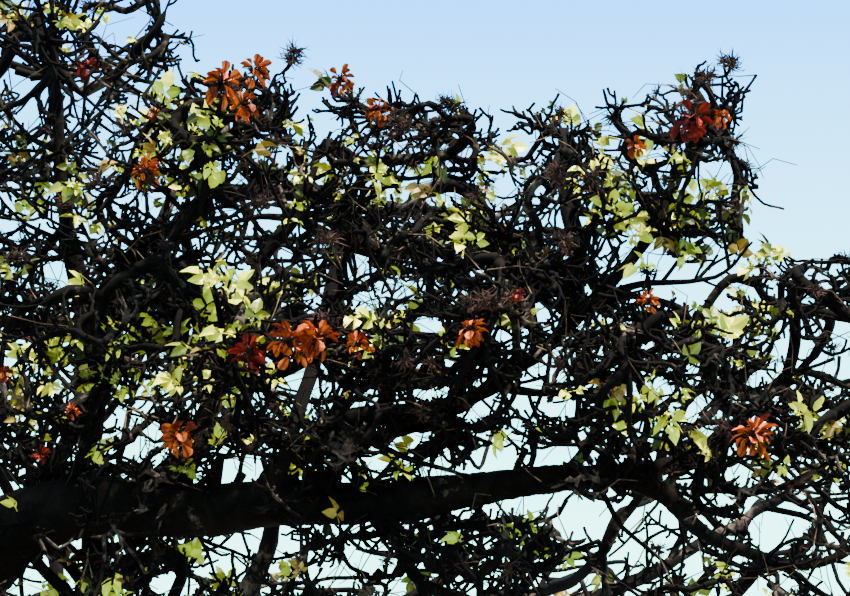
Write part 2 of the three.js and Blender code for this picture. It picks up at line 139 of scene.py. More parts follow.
line_of_sight = VIEW_AT - VIEW_FROM
camera = new_object("camera", bpy.data.cameras.new("camera"))
camera.data.sensor_width = 36
camera.data.lens = camera.data.sensor_width * line_of_sight.length / VIEW_WIDTH
camera.data.clip_end = 300
camera.location = VIEW_FROM
camera.rotation_euler = line_of_sight.to_track_quat("-Z", "Y").to_euler()
bpy.context.scene.camera = camera

sun = new_object("sun", bpy.data.lights.new("sun", "SUN"))
sun.data.energy = 26
sun.data.angle = math.radians(4)
sun.data.color = (1.0, 0.93, 0.82)
sun.rotation_euler = SUN_TOWARDS.to_track_quat("-Z", "Y").to_euler()

sky = bpy.data.worlds.new("pale_sky")
sky.use_nodes = True
sky_place = add(sky.node_tree, "ShaderNodeTexCoord", out="Generated")
sky_height = add(sky.node_tree, "ShaderNodeSeparateXYZ", {"Vector": sky_place}, out="Z")
sky_tones = ramp(sky.node_tree, sky_height, *SKY_TONES)
feed(sky.node_tree.nodes["Background"], {"Strength": 3.3, "Color": sky_tones})
bpy.context.scene.world = sky

bpy.ops.mesh.primitive_plane_add(size=120)
floor = bpy.context.object
floor.name = "floor"
floor_finish, _, _ = new_finish("pale_floor", {"Base Color": (0.12, 0.12, 0.117, 1), "Roughness": 0.9})
floor.data.materials.append(floor_finish)
floor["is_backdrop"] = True

# The limbs: the trunk forks at head height into boughs that lean out, bend flat and fork again. Each tapers
# along a smooth curve through a few bends. Those on the photographed side are placed one by one, the others
# stand round.
FRONT_BOUGHS = [
    ("rising_bough", "trunk", (0.15, -0.09, 1.85),
     [(0.25, -0.56, 2.48), (0.4, -0.96, 2.89), (0.52, -1.2, 3.07)], (0.094, 0.074)),
    ("great_bough", "rising_bough", 1,
     [(0.7, -1.345, 3.135), (0.93, -1.43, 3.125), (1.18, -1.52, 3.12), (1.4, -1.58, 3.12)], (0.074, 0.042)),
    ("outer_bough", "great_bough", 1,
     [(1.67, -1.62, 3.15), (1.8, -1.62, 3.162), (1.925, -1.6, 3.14)], (0.036, 0.021)),
    ("low_bough", "outer_bough", 1,
     [(2.03, -1.66, 3.025), (2.205, -1.68, 2.98), (2.35, -1.66, 3.045)], (0.018, 0.011)),
    ("edge_bough", "outer_bough", 0.72,
     [(1.985, -1.5, 3.225), (2.1, -1.45, 3.31), (2.2, -1.4, 3.415), (2.33, -1.3, 3.41)], (0.017, 0.011)),
    ("fork_bough", "great_bough", 0.7,
     [(1.2, -1.62, 3.225), (1.31, -1.68, 3.262), (1.52, -1.72, 3.29), (1.68, -1.7, 3.405),
      (1.8, -1.66, 3.515)], (0.032, 0.013)),
    ("middle_bough", "great_bough", 0.5,
     [(1.02, -1.42, 3.355), (1.085, -1.4, 3.59), (1.195, -1.38, 3.78), (1.235, -1.36, 3.91)], (0.024, 0.01)),
    ("upright_bough", "trunk", (0.19, -0.04, 1.87),
     [(0.52, -0.48, 2.42), (0.745, -0.9, 2.9), (0.738, -0.96, 3.22), (0.72, -1.02, 3.645)], (0.048, 0.024)),
    ("upright_top", "upright_bough", 1,
     [(0.68, -1.04, 3.805), (0.655, -1.04, 4.06), (0.61, -1.0, 4.27)], (0.022, 0.012)),
    ("diagonal_bough", "upright_bough", 0.93,
     [(0.825, -1.12, 3.715), (0.985, -1.22, 3.795)], (0.022, 0.017)),
    ("leader", "trunk", (0.1, 0.02, 1.88),
     [(0.04, 0.13, 2.7), (-0.07, 0.07, 3.35), (-0.01, 0.02, 3.9)], (0.058, 0.022)),
]
BACK_BOUGHS = 5
BACK_FIRST_DEG = -3
BACK_STEP_DEG = 63
BACK_SWAY_DEG = 7
BACK_FOOT = (0.06, 1.86)
BACK_MIDDLE = (0.105, -0.02, 0)
BACK_REACH = (0.43, 1.02, 1.7)
BACK_RISE = (2.44, 2.96, 3.17)
BACK_RADIUS = (0.074, 0.027)
BACK_LIFTS = (0, 0.07, -0.04, 0.06, -0.02)
INNER_AT = 0.62
INNER_REACH = (1.06, 1.16)
INNER_RISE = (3.2, 3.51)
INNER_RADIUS = (0.034, 0.019)
LIMB_RINGS = 6
INNER_RINGS = 4


def polar(radius, degrees, height):
    angle = math.radians(degrees)
    return np.array((radius * math.cos(angle), radius * math.sin(angle), height))


def unit(vector):
    return vector / np.linalg.norm(vector)


@dataclass
class Limb:
    """A tapering limb along a smooth curve through its knots, from thick[0] to thick[1]."""
    name: str
    knots: np.ndarray
    thick: tuple
    rings: int

    def at(self, t):
        last = len(self.knots) - 1
        step = min(int(t * last), last - 1)
        w = t * last - step
        a, b = self.knots[step], self.knots[step + 1]
        before = self.knots[step - 1] if step else 2 * a - b
        after = self.knots[step + 2] if step + 2 <= last else 2 * b - a
        leave, arrive = 0.5 * (b - before), 0.5 * (after - a)
        bow, twist = 3 * (b - a) - 2 * leave - arrive, 2 * (a - b) + leave + arrive
        return a + leave * w + bow * w**2 + twist * w**3

    def along(self, t):
        return unit(self.at(min(1, t + 1e-4)) - self.at(max(0, t - 1e-4)))

    def built(self, t):
        """The point on the straight line between two of the limb's rings."""
        ring = min(self.rings - 1, math.floor(t * self.rings))
        a, b = self.at(ring / self.rings), self.at((ring + 1) / self.rings)
        return a + (b - a) * (t * self.rings - ring)

    def radius(self, t):
        return self.thick[0] + (self.thick[1] - self.thick[0]) * t

    def length(self):
        points = [self.at(i / 12) for i in range(13)]
        return sum(np.linalg.norm(b - a) for a, b in zip(points, points[1:]))


limbs = {}


def add_limb(name, parent, start, through, thick, rings=LIMB_RINGS):
    first = np.array(start) if parent == "trunk" else limbs[parent].built(start)
    limbs[name] = Limb(name, np.array([first, *through], dtype=float), thick, rings)


for row in FRONT_BOUGHS:
    add_limb(*row)
for i in range(BACK_BOUGHS):
    degrees = BACK_FIRST_DEG + i * BACK_STEP_DEG
    lift = BACK_LIFTS[i]
    sway = BACK_SWAY_DEG if i % 2 else -BACK_SWAY_DEG
    start = polar(BACK_FOOT[0], degrees, BACK_FOOT[1]) + BACK_MIDDLE
    bends = [
        polar(BACK_REACH[k], degrees + sway * (1 - k), BACK_RISE[k] + lift * (k + 1) / 3) for k in range(3)]
    add_limb(f"back_bough_{i + 1}", "trunk", start, bends, BACK_RADIUS)
    bends = [polar(INNER_REACH[k], degrees + sway * k, INNER_RISE[k] + lift) for k in range(2)]
    add_limb(f"inner_bough_{i + 1}", f"back_bough_{i + 1}", INNER_AT, bends, INNER_RADIUS, INNER_RINGS)

# The bark: grey-brown, furrowed along the limb and blotched with paler lichen. In the crown its tones are
# painted nearly black, far darker than its own grey-brown, as painted shade, and the pale blotches are partly
# lichen and partly painted sunlit highlights. The limb's own lumps and furrows are in its mesh, and the
# finest cracks are left to the material, painted darker as shade. The trunk and the feet of the boughs keep
# the bark's own paler grey-brown, without the painted shade of the crown.
# Near-black, dark brown and pale: the first two are painted shade, the pale one partly lichen and partly
# painted highlight.
BARK_PAINTED_SHADE_TONES = ((0.0008, 0.0005, 0.0004, 1), (0.005, 0.0033, 0.0022, 1), (0.085, 0.062, 0.042, 1))
BARK_CRACKS = 0.03
# Below the first height the bark keeps its own grey-brown; above the second it takes the painted-shade tones.
UNSHADED_BARK_TONES = ((0.4, (0.045, 0.031, 0.022, 1)), (0.6, (0.15, 0.112, 0.082, 1)))
UNSHADED_TO, PAINTED_SHADE_FROM = 1.9, 3.0


def bark_finish(name, dark, brown, pale, paleness, crack_size, unshaded=()):
    """Blotches of the three tones, crossed by cracks painted darker as shade. Near the ground they take the
    bark's own tones, without the painted shade.
    """
    finish, tree, surface = new_finish(name, {"Roughness": 0.9, "Specular IOR Level": 0.06})
    place = add(tree, "ShaderNodeTexCoord", out="Object")
    blotches = add(tree, "ShaderNodeTexNoise", {"Vector": place, "Scale": 7, "Detail": 6, "Roughness": 0.65})
    tones = ramp(tree, blotches, (0.36, dark), (0.53, brown), (paleness, brown), (paleness + 0.06, pale))
    if unshaded:
        height = add(tree, "ShaderNodeSeparateXYZ", {"Vector": place}, out="Z")
        rise = add(tree, "ShaderNodeMapRange", {
            "Value": height, "From Min": UNSHADED_TO, "From Max": PAINTED_SHADE_FROM})
        unshaded_tones = ramp(tree, blotches, *unshaded)
        tones = add(tree, "ShaderNodeMix", {0: rise, 6: unshaded_tones, 7: tones}, 2, data_type="RGBA")
    cracks = add(tree, "ShaderNodeTexNoise", {
        "Vector": place, "Scale": 1 / crack_size, "Detail": 8, "Roughness": 0.7, "Distortion": 0.6})
    # The colour is painted darker in the cracks and a little lighter between them: painted shade in the
    # cracks.
    furrow = add(tree, "ShaderNodeMapRange", {
        "Value": cracks, "From Min": 0.38, "From Max": 0.6, "To Min": 0.35, "To Max": 1.25})
    shade = add(tree, "ShaderNodeVectorMath", {0: tones, "Scale": furrow}, operation="SCALE")
    bump = add(tree, "ShaderNodeBump", {"Strength": 0.7, "Distance": 0.25 * crack_size, "Height": cracks})
    feed(surface, {"Base Color": shade, "Normal": bump})
    return finish


bough_bark = bark_finish("bough_bark", *BARK_PAINTED_SHADE_TONES, 0.64, BARK_CRACKS)
trunk_bark = bark_finish("trunk_bark", *BARK_PAINTED_SHADE_TONES, 0.6, BARK_CRACKS, UNSHADED_BARK_TONES)


def node_tree(name, *sizes):
    """A Geometry Nodes tree, and what it is given: a geometry, the named sizes and a finish."""
    tree = bpy.data.node_groups.new(name, "GeometryNodeTree")
    tree.interface.new_socket("Geometry", in_out="OUTPUT", socket_type="NodeSocketGeometry")
    for label, kind in (("Geometry", "Geometry"), *sizes, ("Finish", "Material")):
        tree.interface.new_socket(label, in_out="INPUT", socket_type=f"NodeSocket{kind}")
    return tree, tree.nodes.new("NodeGroupInput").outputs


def end_tree(tree, given, geometry):
    """Makes the geometry real, gives it the finish and sends it out of the tree."""
    real = add(tree, "GeometryNodeRealizeInstances", {"Geometry": geometry})
    done = add(tree, "GeometryNodeSetMaterial", {"Geometry": real, "Material": given["Finish"]})
    feed(tree.nodes.new("NodeGroupOutput"), {"Geometry": done})


def plain_mesh(piece):
    """The piece's mesh as its modifiers leave it."""
    bpy.context.view_layer.update()
    return bpy.data.meshes.new_from_object(piece.evaluated_get(bpy.context.evaluated_depsgraph_get()))


def shaped(name, mesh, tree, finish, **sizes):
    """A new piece: the mesh put through the tree and made a plain mesh, with nothing live left on it."""
    piece = new_object(name, mesh)
    modifier = piece.modifiers.new("shape", "NODES")
    modifier.node_group = tree
    for item in tree.interface.items_tree:
        if item.in_out == "INPUT" and item.name != "Geometry":
            modifier[item.identifier] = finish if item.name == "Finish" else sizes[item.name]
    plain = plain_mesh(piece)
    piece.modifiers.clear()
    piece.data = plain
    plain.name = name
    return piece


# Each limb starts as a tube round its curve. The tree carries a ring along every path in the mesh, as thick
# as the path's own thickness says, and closes its ends.
tube_tree, given = node_tree("tubes", ("Sides", "Int"))
paths = add(tube_tree, "GeometryNodeMeshToCurve", {"Mesh": given["Geometry"]})
thickness = add(tube_tree, "GeometryNodeInputNamedAttribute", {"Name": "thickness"}, data_type="FLOAT")
ring = add(tube_tree, "GeometryNodeCurvePrimitiveCircle", {"Resolution": given["Sides"], "Radius": 1.0})
tubes = add(tube_tree, "GeometryNodeCurveToMesh", {
    "Curve": paths, "Profile Curve": ring, "Scale": thickness, "Fill Caps": True})
end_tree(tube_tree, given, add(tube_tree, "GeometryNodeSetShadeSmooth", {"Geometry": tubes}))


def mark(mesh, name, kind, values):
    """Gives each point of the mesh its value under the name."""
    key = "vector" if kind == "FLOAT_VECTOR" else "value"
    number = np.int32 if kind == "INT" else np.float32
    mesh.attributes.new(name, kind, "POINT").data.foreach_set(key, np.ravel(values).astype(number))


def tube_piece(name, paths, finish, sides):
    """A piece of tubes along open paths. Each path is its points and the thickness at each of them."""
    points = np.concatenate([p for p, _ in paths])
    ends = np.cumsum([len(p) for p, _ in paths])
    joined = np.setdiff1d(np.arange(len(points) - 1), ends - 1)
    mesh = bpy.data.meshes.new(name)
    mesh.from_pydata(points.tolist(), np.stack([joined, joined + 1], axis=1).tolist(), [])
    mark(mesh, "thickness", "FLOAT", np.concatenate([t for _, t in paths]))
    return shaped(name, mesh, tube_tree, finish, Sides=sides)


GNARLS = ((0.14, 0.010), (0.05, 0.0032))
GNARL_SEED = 7
noise.seed_set(GNARL_SEED)


def gnarled(point):
    """Where a point of the grown wood really is. It depends on its place only, so joints stay joined."""
    moved = Vector(point)
    for size, reach in GNARLS:
        moved = moved + noise.noise_vector(Vector(point) / size) * reach
    return np.array(moved)


COLLAR = 0.45
COLLAR_LENGTH = 0.11


def limb_path(limb, step, first=0.0, collar=0.0):
    """The limb as a path with a point every step, swollen at its foot by a collar."""
    count = max(4, round(limb.length() * (1 - first) / step))
    shares = np.linspace(first, 1, count + 1)
    points = np.array([gnarled(limb.at(t)) for t in shares])
    run = np.concatenate([[0], np.cumsum(np.linalg.norm(np.diff(points, axis=0), axis=1))])
    swell = 1 + collar * np.exp(-run / COLLAR_LENGTH)
    return points, np.array([limb.radius(t) for t in shares]) * swell


# The relief of the bark: broad lumps and hollows, and furrows that run up and down the limb.
LUMP_SIZE, LUMP_HEIGHT = 0.1, 0.01
FURROW_SIZE, FURROW_DEPTH = 0.03, 0.004
FURROW_SQUEEZE = (1.0, 1.0, 0.28)


def worked(tree, value, *steps):
    """The value taken through steps of arithmetic, each an operation and what it works with."""
    for operation, other in steps:
        value = add(tree, "ShaderNodeMath", {0: value, 1: other}, operation=operation)
    return value


relief_tree, given = node_tree("bark relief")
place = add(relief_tree, "GeometryNodeInputPosition")
stretched = add(relief_tree, "ShaderNodeVectorMath", {0: place, 1: FURROW_SQUEEZE}, operation="MULTIPLY")
lumps = add(relief_tree, "ShaderNodeTexNoise", {"Scale": 1 / LUMP_SIZE, "Detail": 3.0})
furrows = add(relief_tree, "ShaderNodeTexNoise", {
    "Vector": stretched, "Scale": 1 / FURROW_SIZE, "Detail": 4.0, "Roughness": 0.6, "Distortion": 0.7})
crease = worked(
    relief_tree, furrows, ("SUBTRACT", 0.5), ("ABSOLUTE", 0.0), ("MULTIPLY", 4.0), ("MINIMUM", 1.0))
furrow = worked(relief_tree, crease, ("SUBTRACT", 1.0), ("MULTIPLY", FURROW_DEPTH))
height = worked(relief_tree, lumps, ("SUBTRACT", 0.5), ("MULTIPLY", LUMP_HEIGHT), ("ADD", furrow))
outward = add(relief_tree, "GeometryNodeInputNormal")
shift = add(relief_tree, "ShaderNodeVectorMath", {0: outward, "Scale": height}, operation="SCALE")
rough = add(relief_tree, "GeometryNodeSetPosition", {"Geometry": given["Geometry"], "Offset": shift})
end_tree(relief_tree, given, add(relief_tree, "GeometryNodeSetShadeSmooth", {"Geometry": rough}))


def grown_together(name, paths, sides, fineness, *others):
    """One skin over tubes along the paths and the other meshes, so that forks and collars are one."""
    tubes = tube_piece(name, paths, bough_bark, sides)
    whole = bmesh.new()
    for part in (tubes.data, *others):
        whole.from_mesh(part)
    bpy.data.objects.remove(tubes)
    mesh = bpy.data.meshes.new(name)
    whole.to_mesh(mesh)
    whole.free()
    piece = new_object(name, mesh)
    skin = piece.modifiers.new("skin", "REMESH")
    skin.mode = "VOXEL"
    skin.voxel_size = fineness
    soften = piece.modifiers.new("soften", "SMOOTH")
    soften.iterations = 3
    plain = plain_mesh(piece)
    bpy.data.objects.remove(piece)
    return plain


# The trunk: stout, leaning a little to the right, swollen under its fork and flared into five root lobes at
# the ground, where it is cut flat. The boughs that leave it are of one skin with it.
TRUNK_HEIGHT = 2.08
TRUNK_RADIUS = 0.215
TRUNK_LEAN = (0.12, -0.03)
ROOT_FLARE = 0.15
ROOT_LOBES = 5
LOBE_DEPTH = 0.055
FORK_SWELL = 0.045
BELOW_GROUND = 0.03
TRUNK_SWAY = 0.028
TAPER, TAPER_TO = 0.14, 1.3
FLARE_HEIGHT = 0.19
SWELL_AT, SWELL_SPREAD = 1.76, 0.24
FLUTE_DEPTH, FLUTE_PITCH = 0.009, 0.42
DOME_FROM, DOME_HEIGHT, DOME_LEAST = 1.9, 0.19, 0.25
SHELL_ROWS, SHELL_SIDES = 120, 72
TRUNK_STEP, TRUNK_SIDES, TRUNK_FINENESS = 0.02, 24, 0.0125


def trunk_shell(rows, sides):
    """The trunk's surface as closed rings. It starts a little low, and is cut at the ground afterwards."""
    rings = []
    for height in np.linspace(-BELOW_GROUND, TRUNK_HEIGHT, rows):
        above = max(0, height)
        rise = above / TRUNK_HEIGHT
        sway = TRUNK_SWAY * math.sin(math.pi * rise)
        angle = np.arange(sides) * 2 * math.pi / sides
        taper = TRUNK_RADIUS * (1 + TAPER - TAPER * min(1, above / TAPER_TO))
        flare = (ROOT_FLARE + LOBE_DEPTH * np.cos(ROOT_LOBES * angle + 0.6)) * math.exp(-above / FLARE_HEIGHT)
        swell = FORK_SWELL * math.exp(-(((height - SWELL_AT) / SWELL_SPREAD) ** 2))
        flutes = FLUTE_DEPTH * np.cos(3 * angle + height / FLUTE_PITCH)
        dome = math.sqrt(max(0, 1 - (max(0, height - DOME_FROM) / DOME_HEIGHT) ** 2))
        radius = (taper + flare + swell + flutes) * max(DOME_LEAST, dome)
        x = TRUNK_LEAN[0] * rise**1.5 - sway + radius * np.cos(angle)
        y = TRUNK_LEAN[1] * rise**1.5 + sway + radius * np.sin(angle)
        rings.append(np.stack([x, y, np.full(sides, height)], axis=1))
    faces = []
    for row in range(rows - 1):
        for i in range(sides):
            j = (i + 1) % sides
            faces.append((row * sides + i, row * sides + j, (row + 1) * sides + j, (row + 1) * sides + i))
    faces.append(tuple(reversed(range(sides))))
    faces.append(tuple(range((rows - 1) * sides, rows * sides)))
    mesh = bpy.data.meshes.new("trunk_shell")
    mesh.from_pydata(np.concatenate(rings).tolist(), [], faces)
    return mesh


def cut_at_ground(mesh):
    """Takes away what lies below the ground and closes the cut."""
    whole = bmesh.new()
    whole.from_mesh(mesh)
    everything = whole.verts[:] + whole.edges[:] + whole.faces[:]
    cut = bmesh.ops.bisect_plane(
        whole, geom=everything, plane_co=(0, 0, 0), plane_no=(0, 0, -1), clear_outer=True)
    edges = [item for item in cut["geom_cut"] if isinstance(item, bmesh.types.BMEdge)]
    bmesh.ops.holes_fill(whole, edges=edges)
    whole.to_mesh(mesh)
    whole.free()


from_trunk = ["rising_bough", "upright_bough", "leader", *(f"back_bough_{i + 1}" for i in range(BACK_BOUGHS))]
inner = [f"inner_bough_{i + 1}" for i in range(BACK_BOUGHS)]
paths = [limb_path(limbs[name], TRUNK_STEP, collar=COLLAR) for name in from_trunk + inner]
shell = trunk_shell(SHELL_ROWS, SHELL_SIDES)
skin = grown_together("trunk", paths, TRUNK_SIDES, TRUNK_FINENESS, shell)
trunk = shaped("trunk_and_boughs", skin, relief_tree, trunk_bark)
cut_at_ground(trunk.data)
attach(trunk, "root")
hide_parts("trunk", *from_trunk, *inner)

# The boughs that the photograph shows close up: the great bough along the bottom, its forks, and the upright
# bough with its diagonal one. They are of the same wood and bark, with a finer skin.
NEAR_STEP, NEAR_SIDES, NEAR_FINENESS = 0.012, 28, 0.0048
UPRIGHT_SHOWS_FROM = 0.45
near = [
    "great_bough", "outer_bough", "low_bough", "edge_bough", "fork_bough", "middle_bough", "upright_top",
    "diagonal_bough",
]
paths = [limb_path(limbs[name], NEAR_STEP, collar=COLLAR) for name in near]
paths.append(limb_path(limbs["upright_bough"], NEAR_STEP, first=UPRIGHT_SHOWS_FROM))
skin = grown_together("near", paths, NEAR_SIDES, NEAR_FINENESS)
near_boughs = shaped("near_boughs", skin, relief_tree, bough_bark)
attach(near_boughs, "root")
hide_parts(*near)

# Where a point shows in the photograph, and the point that shows at a pixel at a given depth, both for the
# viewpoint above. The blossom, leafy sprays and dry tufts that the photograph shows are seated on the twigs
# by these.
SIGHT = np.array(line_of_sight.normalized())
ACROSS = np.array((1.0, 0.0, 0.0))
UPWARD = np.cross(ACROSS, SIGHT)
PIXELS = PICTURE[0] * camera.data.lens / camera.data.sensor_width


def pictured(points):
    """Where the points show in the photograph, and how far off they are."""
    away = np.asarray(points) - np.array(VIEW_FROM)
    depth = away @ SIGHT
    across = PICTURE[0] / 2 + away @ ACROSS * PIXELS / depth
    down = PICTURE[1] / 2 - away @ UPWARD * PIXELS / depth
    return np.stack([across, down], axis=-1), depth


def at_pixel(u, v, depth):
    aside = ACROSS * (u - PICTURE[0] / 2) / PIXELS
    below = UPWARD * (v - PICTURE[1] / 2) / PIXELS
    return np.array(VIEW_FROM) + depth * (SIGHT + aside - below)


# The crown is open where the photograph shows sky: the middle of each opening, and half its width and height.
OPENINGS = np.array([
    (800, 110, 52, 60), (812, 190, 55, 50), (765, 140, 31, 32), (410, 10, 215, 42), (440, 62, 70, 24),
    (560, 55, 90, 35), (638, 66, 46, 26), (58, 272, 15, 15), (158, 202, 14, 9), (228, 255, 11, 8),
    (242, 280, 12, 10), (272, 157, 14, 9), (318, 176, 8, 10), (358, 262, 9, 11), (392, 288, 18, 9),
    (20, 75, 12, 14), (28, 118, 12, 12), (90, 92, 12, 12), (120, 30, 26, 14), (455, 150, 15, 10),
    (520, 145, 18, 11), (500, 195, 14, 8), (570, 217, 18, 11), (655, 270, 30, 16), (735, 285, 22, 11),
    (715, 172, 20, 10), (700, 245, 18, 8), (308, 386, 20, 9), (158, 388, 14, 8), (214, 410, 14, 9),
    (135, 450, 16, 6), (352, 410, 10, 10), (376, 462, 12, 11), (402, 444, 13, 8), (442, 474, 13, 13),
    (262, 543, 29, 9), (212, 572, 13, 8), (172, 587, 24, 9), (335, 578, 24, 9), (372, 559, 24, 6),
    (405, 588, 14, 10), (428, 325, 16, 9), (365, 304, 11, 11), (508, 330, 8, 13), (540, 312, 9, 11),
    (438, 392, 14, 7), (478, 408, 20, 9), (418, 432, 15, 11), (490, 463, 25, 17), (560, 407, 19, 9),
    (572, 452, 32, 9), (548, 466, 12, 9), (645, 391, 28, 8), (700, 418, 21, 16), (765, 378, 14, 9),
    (745, 470, 17, 7), (785, 476, 14, 7), (775, 520, 34, 19), (603, 515, 34, 13), (650, 505, 12, 7),
    (670, 540, 18, 10), (692, 568, 15, 12), (770, 586, 25, 9), (830, 575, 17, 16), (572, 579, 22, 11),
    (830, 420, 15, 8), (36, 577, 46, 17), (840, 330, 12, 10),
])


def in_opening(points):
    """True where one of the points shows in an opening of the crown."""
    at, _ = pictured(points)
    return (((at[:, None] - OPENINGS[:, :2]) / OPENINGS[:, 2:]) ** 2).sum(axis=2).min() < 1


# The masses of foliage: each is a space at the end of a bough that one stem fills with twigs. The stems and
# their first twigs grow by the same seeded rule as the solids, and finer twigs go on from them to fill the
# same space.
FRONT_MASSES = [
    ("top_left_mass", "upright_top", 1, (0.66, -0.98, 4.16), (0.33, 0.3, 0.31)),
    ("upper_left_mass", "diagonal_bough", 1, (1.0, -1.29, 3.86), (0.3, 0.29, 0.25)),
    ("left_mass", "upright_bough", 0.76, (0.78, -1.33, 3.45), (0.33, 0.27, 0.31)),
    ("near_bloom_mass", "middle_bough", 0.3, (1.18, -1.6, 3.38), (0.27, 0.25, 0.24)),
    ("crest_mass", "middle_bough", 1, (1.36, -1.34, 3.87), (0.28, 0.26, 0.2)),
    ("middle_mass", "middle_bough", 0.7, (1.45, -1.43, 3.66), (0.27, 0.27, 0.2)),
    ("central_mass", "fork_bough", 0.6, (1.56, -1.74, 3.42), (0.28, 0.25, 0.25)),
    ("spray_mass", "fork_bough", 1, (1.97, -1.6, 3.79), (0.27, 0.26, 0.25)),
    ("upper_right_mass", "fork_bough", 0.93, (1.74, -1.56, 3.72), (0.3, 0.26, 0.25)),
    ("edge_mass", "edge_bough", 0.72, (2.2, -1.48, 3.49), (0.29, 0.27, 0.185)),
    ("leafy_mass", "outer_bough", 0.45, (1.83, -1.76, 3.31), (0.27, 0.24, 0.24)),
    ("right_mass", "edge_bough", 0.4, (2.17, -1.6, 3.24), (0.28, 0.25, 0.2)),
    ("under_mass", "great_bough", 0.95, (1.44, -1.62, 2.95), (0.34, 0.26, 0.19)),
    ("low_right_mass", "low_bough", 0.5, (2.04, -1.72, 2.9), (0.32, 0.27, 0.2)),
    ("low_left_mass", "great_bough", 0.12, (0.76, -1.33, 2.94), (0.32, 0.26, 0.2)),
    ("inner_front_mass", "upright_bough", 0.6, (0.34, -0.95, 3.62), (0.39, 0.39, 0.34)),
    ("cleft_mass", "fork_bough", 0.25, (1.35, -1.62, 3.24), (0.26, 0.22, 0.15)),
    ("elbow_mass", "great_bough", 0.3, (0.99, -1.48, 3.26), (0.23, 0.23, 0.14)),
]
FULLNESS = {
    "top_left_mass": 0.35, "upper_left_mass": 1.7, "left_mass": 1.7, "near_bloom_mass": 1.6,
    "middle_mass": 1.4, "central_mass": 2.8, "cleft_mass": 1.8, "elbow_mass": 1.2, "spray_mass": 1.6,
    "edge_mass": 1.1, "right_mass": 1.1, "upper_right_mass": 2.2, "leafy_mass": 2.0, "low_right_mass": 0.3,
    "under_mass": 1.5, "low_left_mass": 1.5, "outer_mass_1": 0.25, "outer_mass_2": 0.4, "outer_mass_3": 0.4,
    "outer_mass_10": 0.7, "top_mass_3": 0.35,
}
FRONT = {"thick": (0.012, 0.005), "twigs": 6}
BACK = {"thick": (0.019, 0.006), "twigs": 7}
OUTER_COUNT, OUTER_FIRST_DEG, OUTER_STEP_DEG = 10, -19, 31.5
OUTER_RADIUS, OUTER_STAGGER, OUTER_HEIGHT, OUTER_SPREAD = 2.1, 0.04, 3.33, (0.62, 0.62, 0.43)
INNER_MASS_RADIUS, INNER_MASS_HEIGHT, INNER_SPREAD = 1.23, 3.85, (0.64, 0.64, 0.4)
TOP_COUNT, TOP_FIRST_DEG, TOP_STEP_DEG = 3, 100, 120
TOP_RADIUS, TOP_HEIGHT, TOP_SPREAD = 0.42, 4.29, (0.54, 0.54, 0.39)
STEM_RINGS, STEM_RISE, STEM_SAG = 3, 0.5, 0.08
TWIG_RINGS = 2
TWIG_SHARE = 0.7
TWIG_TAPER = 0.4
TWIG_TRIES = 4
LIMB_CLEARANCE = 0.009
SPACE_MARGIN = 0.07
STRETCHES = 12
GOLDEN_ANGLE = math.pi * (3 - math.sqrt(5))
GOLDEN_SHARE = 0.618034


@dataclass
class Mass(Limb):
    """A mass of foliage: its stem is a limb, and it keeps to the space round its middle."""
    middle: np.ndarray
    spread: np.ndarray
    order: int
    twigs: int
    shoots: list = field(default_factory=list)


masses = []


def add_mass(name, on, at, centre, spread, thick, twigs):
    middle, spread = np.array(centre, dtype=float), np.array(spread)
    start = limbs[on].built(at)
    outward = unit(unit(middle - start) + (0, 0, STEM_RISE))
    bend = 0.5 * (start + middle) - (0, 0, STEM_SAG * np.linalg.norm(middle - start))
    knots = np.array([start, bend, middle, middle + outward * spread * 0.5])
    masses.append(Mass(name, knots, thick, STEM_RINGS, middle, spread, len(masses) + 1, twigs))


for row in FRONT_MASSES:
    add_mass(*row, **FRONT)
for i in range(OUTER_COUNT):
    radius = OUTER_RADIUS + (OUTER_STAGGER if i % 2 else -OUTER_STAGGER)
    centre = polar(radius, OUTER_FIRST_DEG + i * OUTER_STEP_DEG, OUTER_HEIGHT + BACK_LIFTS[i // 2])
    bough = f"back_bough_{i // 2 + 1}"
    add_mass(f"outer_mass_{i + 1}", bough, 1 - 0.05 * (i % 2), centre, OUTER_SPREAD, **BACK)
for i in range(BACK_BOUGHS):
    centre = polar(INNER_MASS_RADIUS, BACK_FIRST_DEG + i * BACK_STEP_DEG, INNER_MASS_HEIGHT + BACK_LIFTS[i])
    add_mass(f"inner_mass_{i + 1}", f"inner_bough_{i + 1}", 1, centre, INNER_SPREAD, **BACK)
for i in range(TOP_COUNT):
    centre = polar(TOP_RADIUS, TOP_FIRST_DEG + i * TOP_STEP_DEG, TOP_HEIGHT)
    add_mass(f"top_mass_{i + 1}", "leader", 1 - 0.06 * i, centre, TOP_SPREAD, **BACK)


def seeded(seed):
    """A repeatable run of numbers between 0 and 1."""
    state = (seed * 7919 + 12345) % 2147483647

    def draw():
        nonlocal state
        state = (state * 16807) % 2147483647
        return state / 2147483647
    draw()
    draw()
    return draw


middles = np.array([mass.middle for mass in masses])
spreads = np.array([mass.spread for mass in masses])
wood = [*limbs.values(), *masses]
starts = np.array([limb.at(i / STRETCHES) for limb in wood for i in range(STRETCHES)])
runs = np.array([limb.at((i + 1) / STRETCHES) for limb in wood for i in range(STRETCHES)]) - starts
girths = np.array([limb.radius(i / STRETCHES) for limb in wood for i in range(STRETCHES)])
owners = np.array([index for index in range(len(wood)) for _ in range(STRETCHES)])


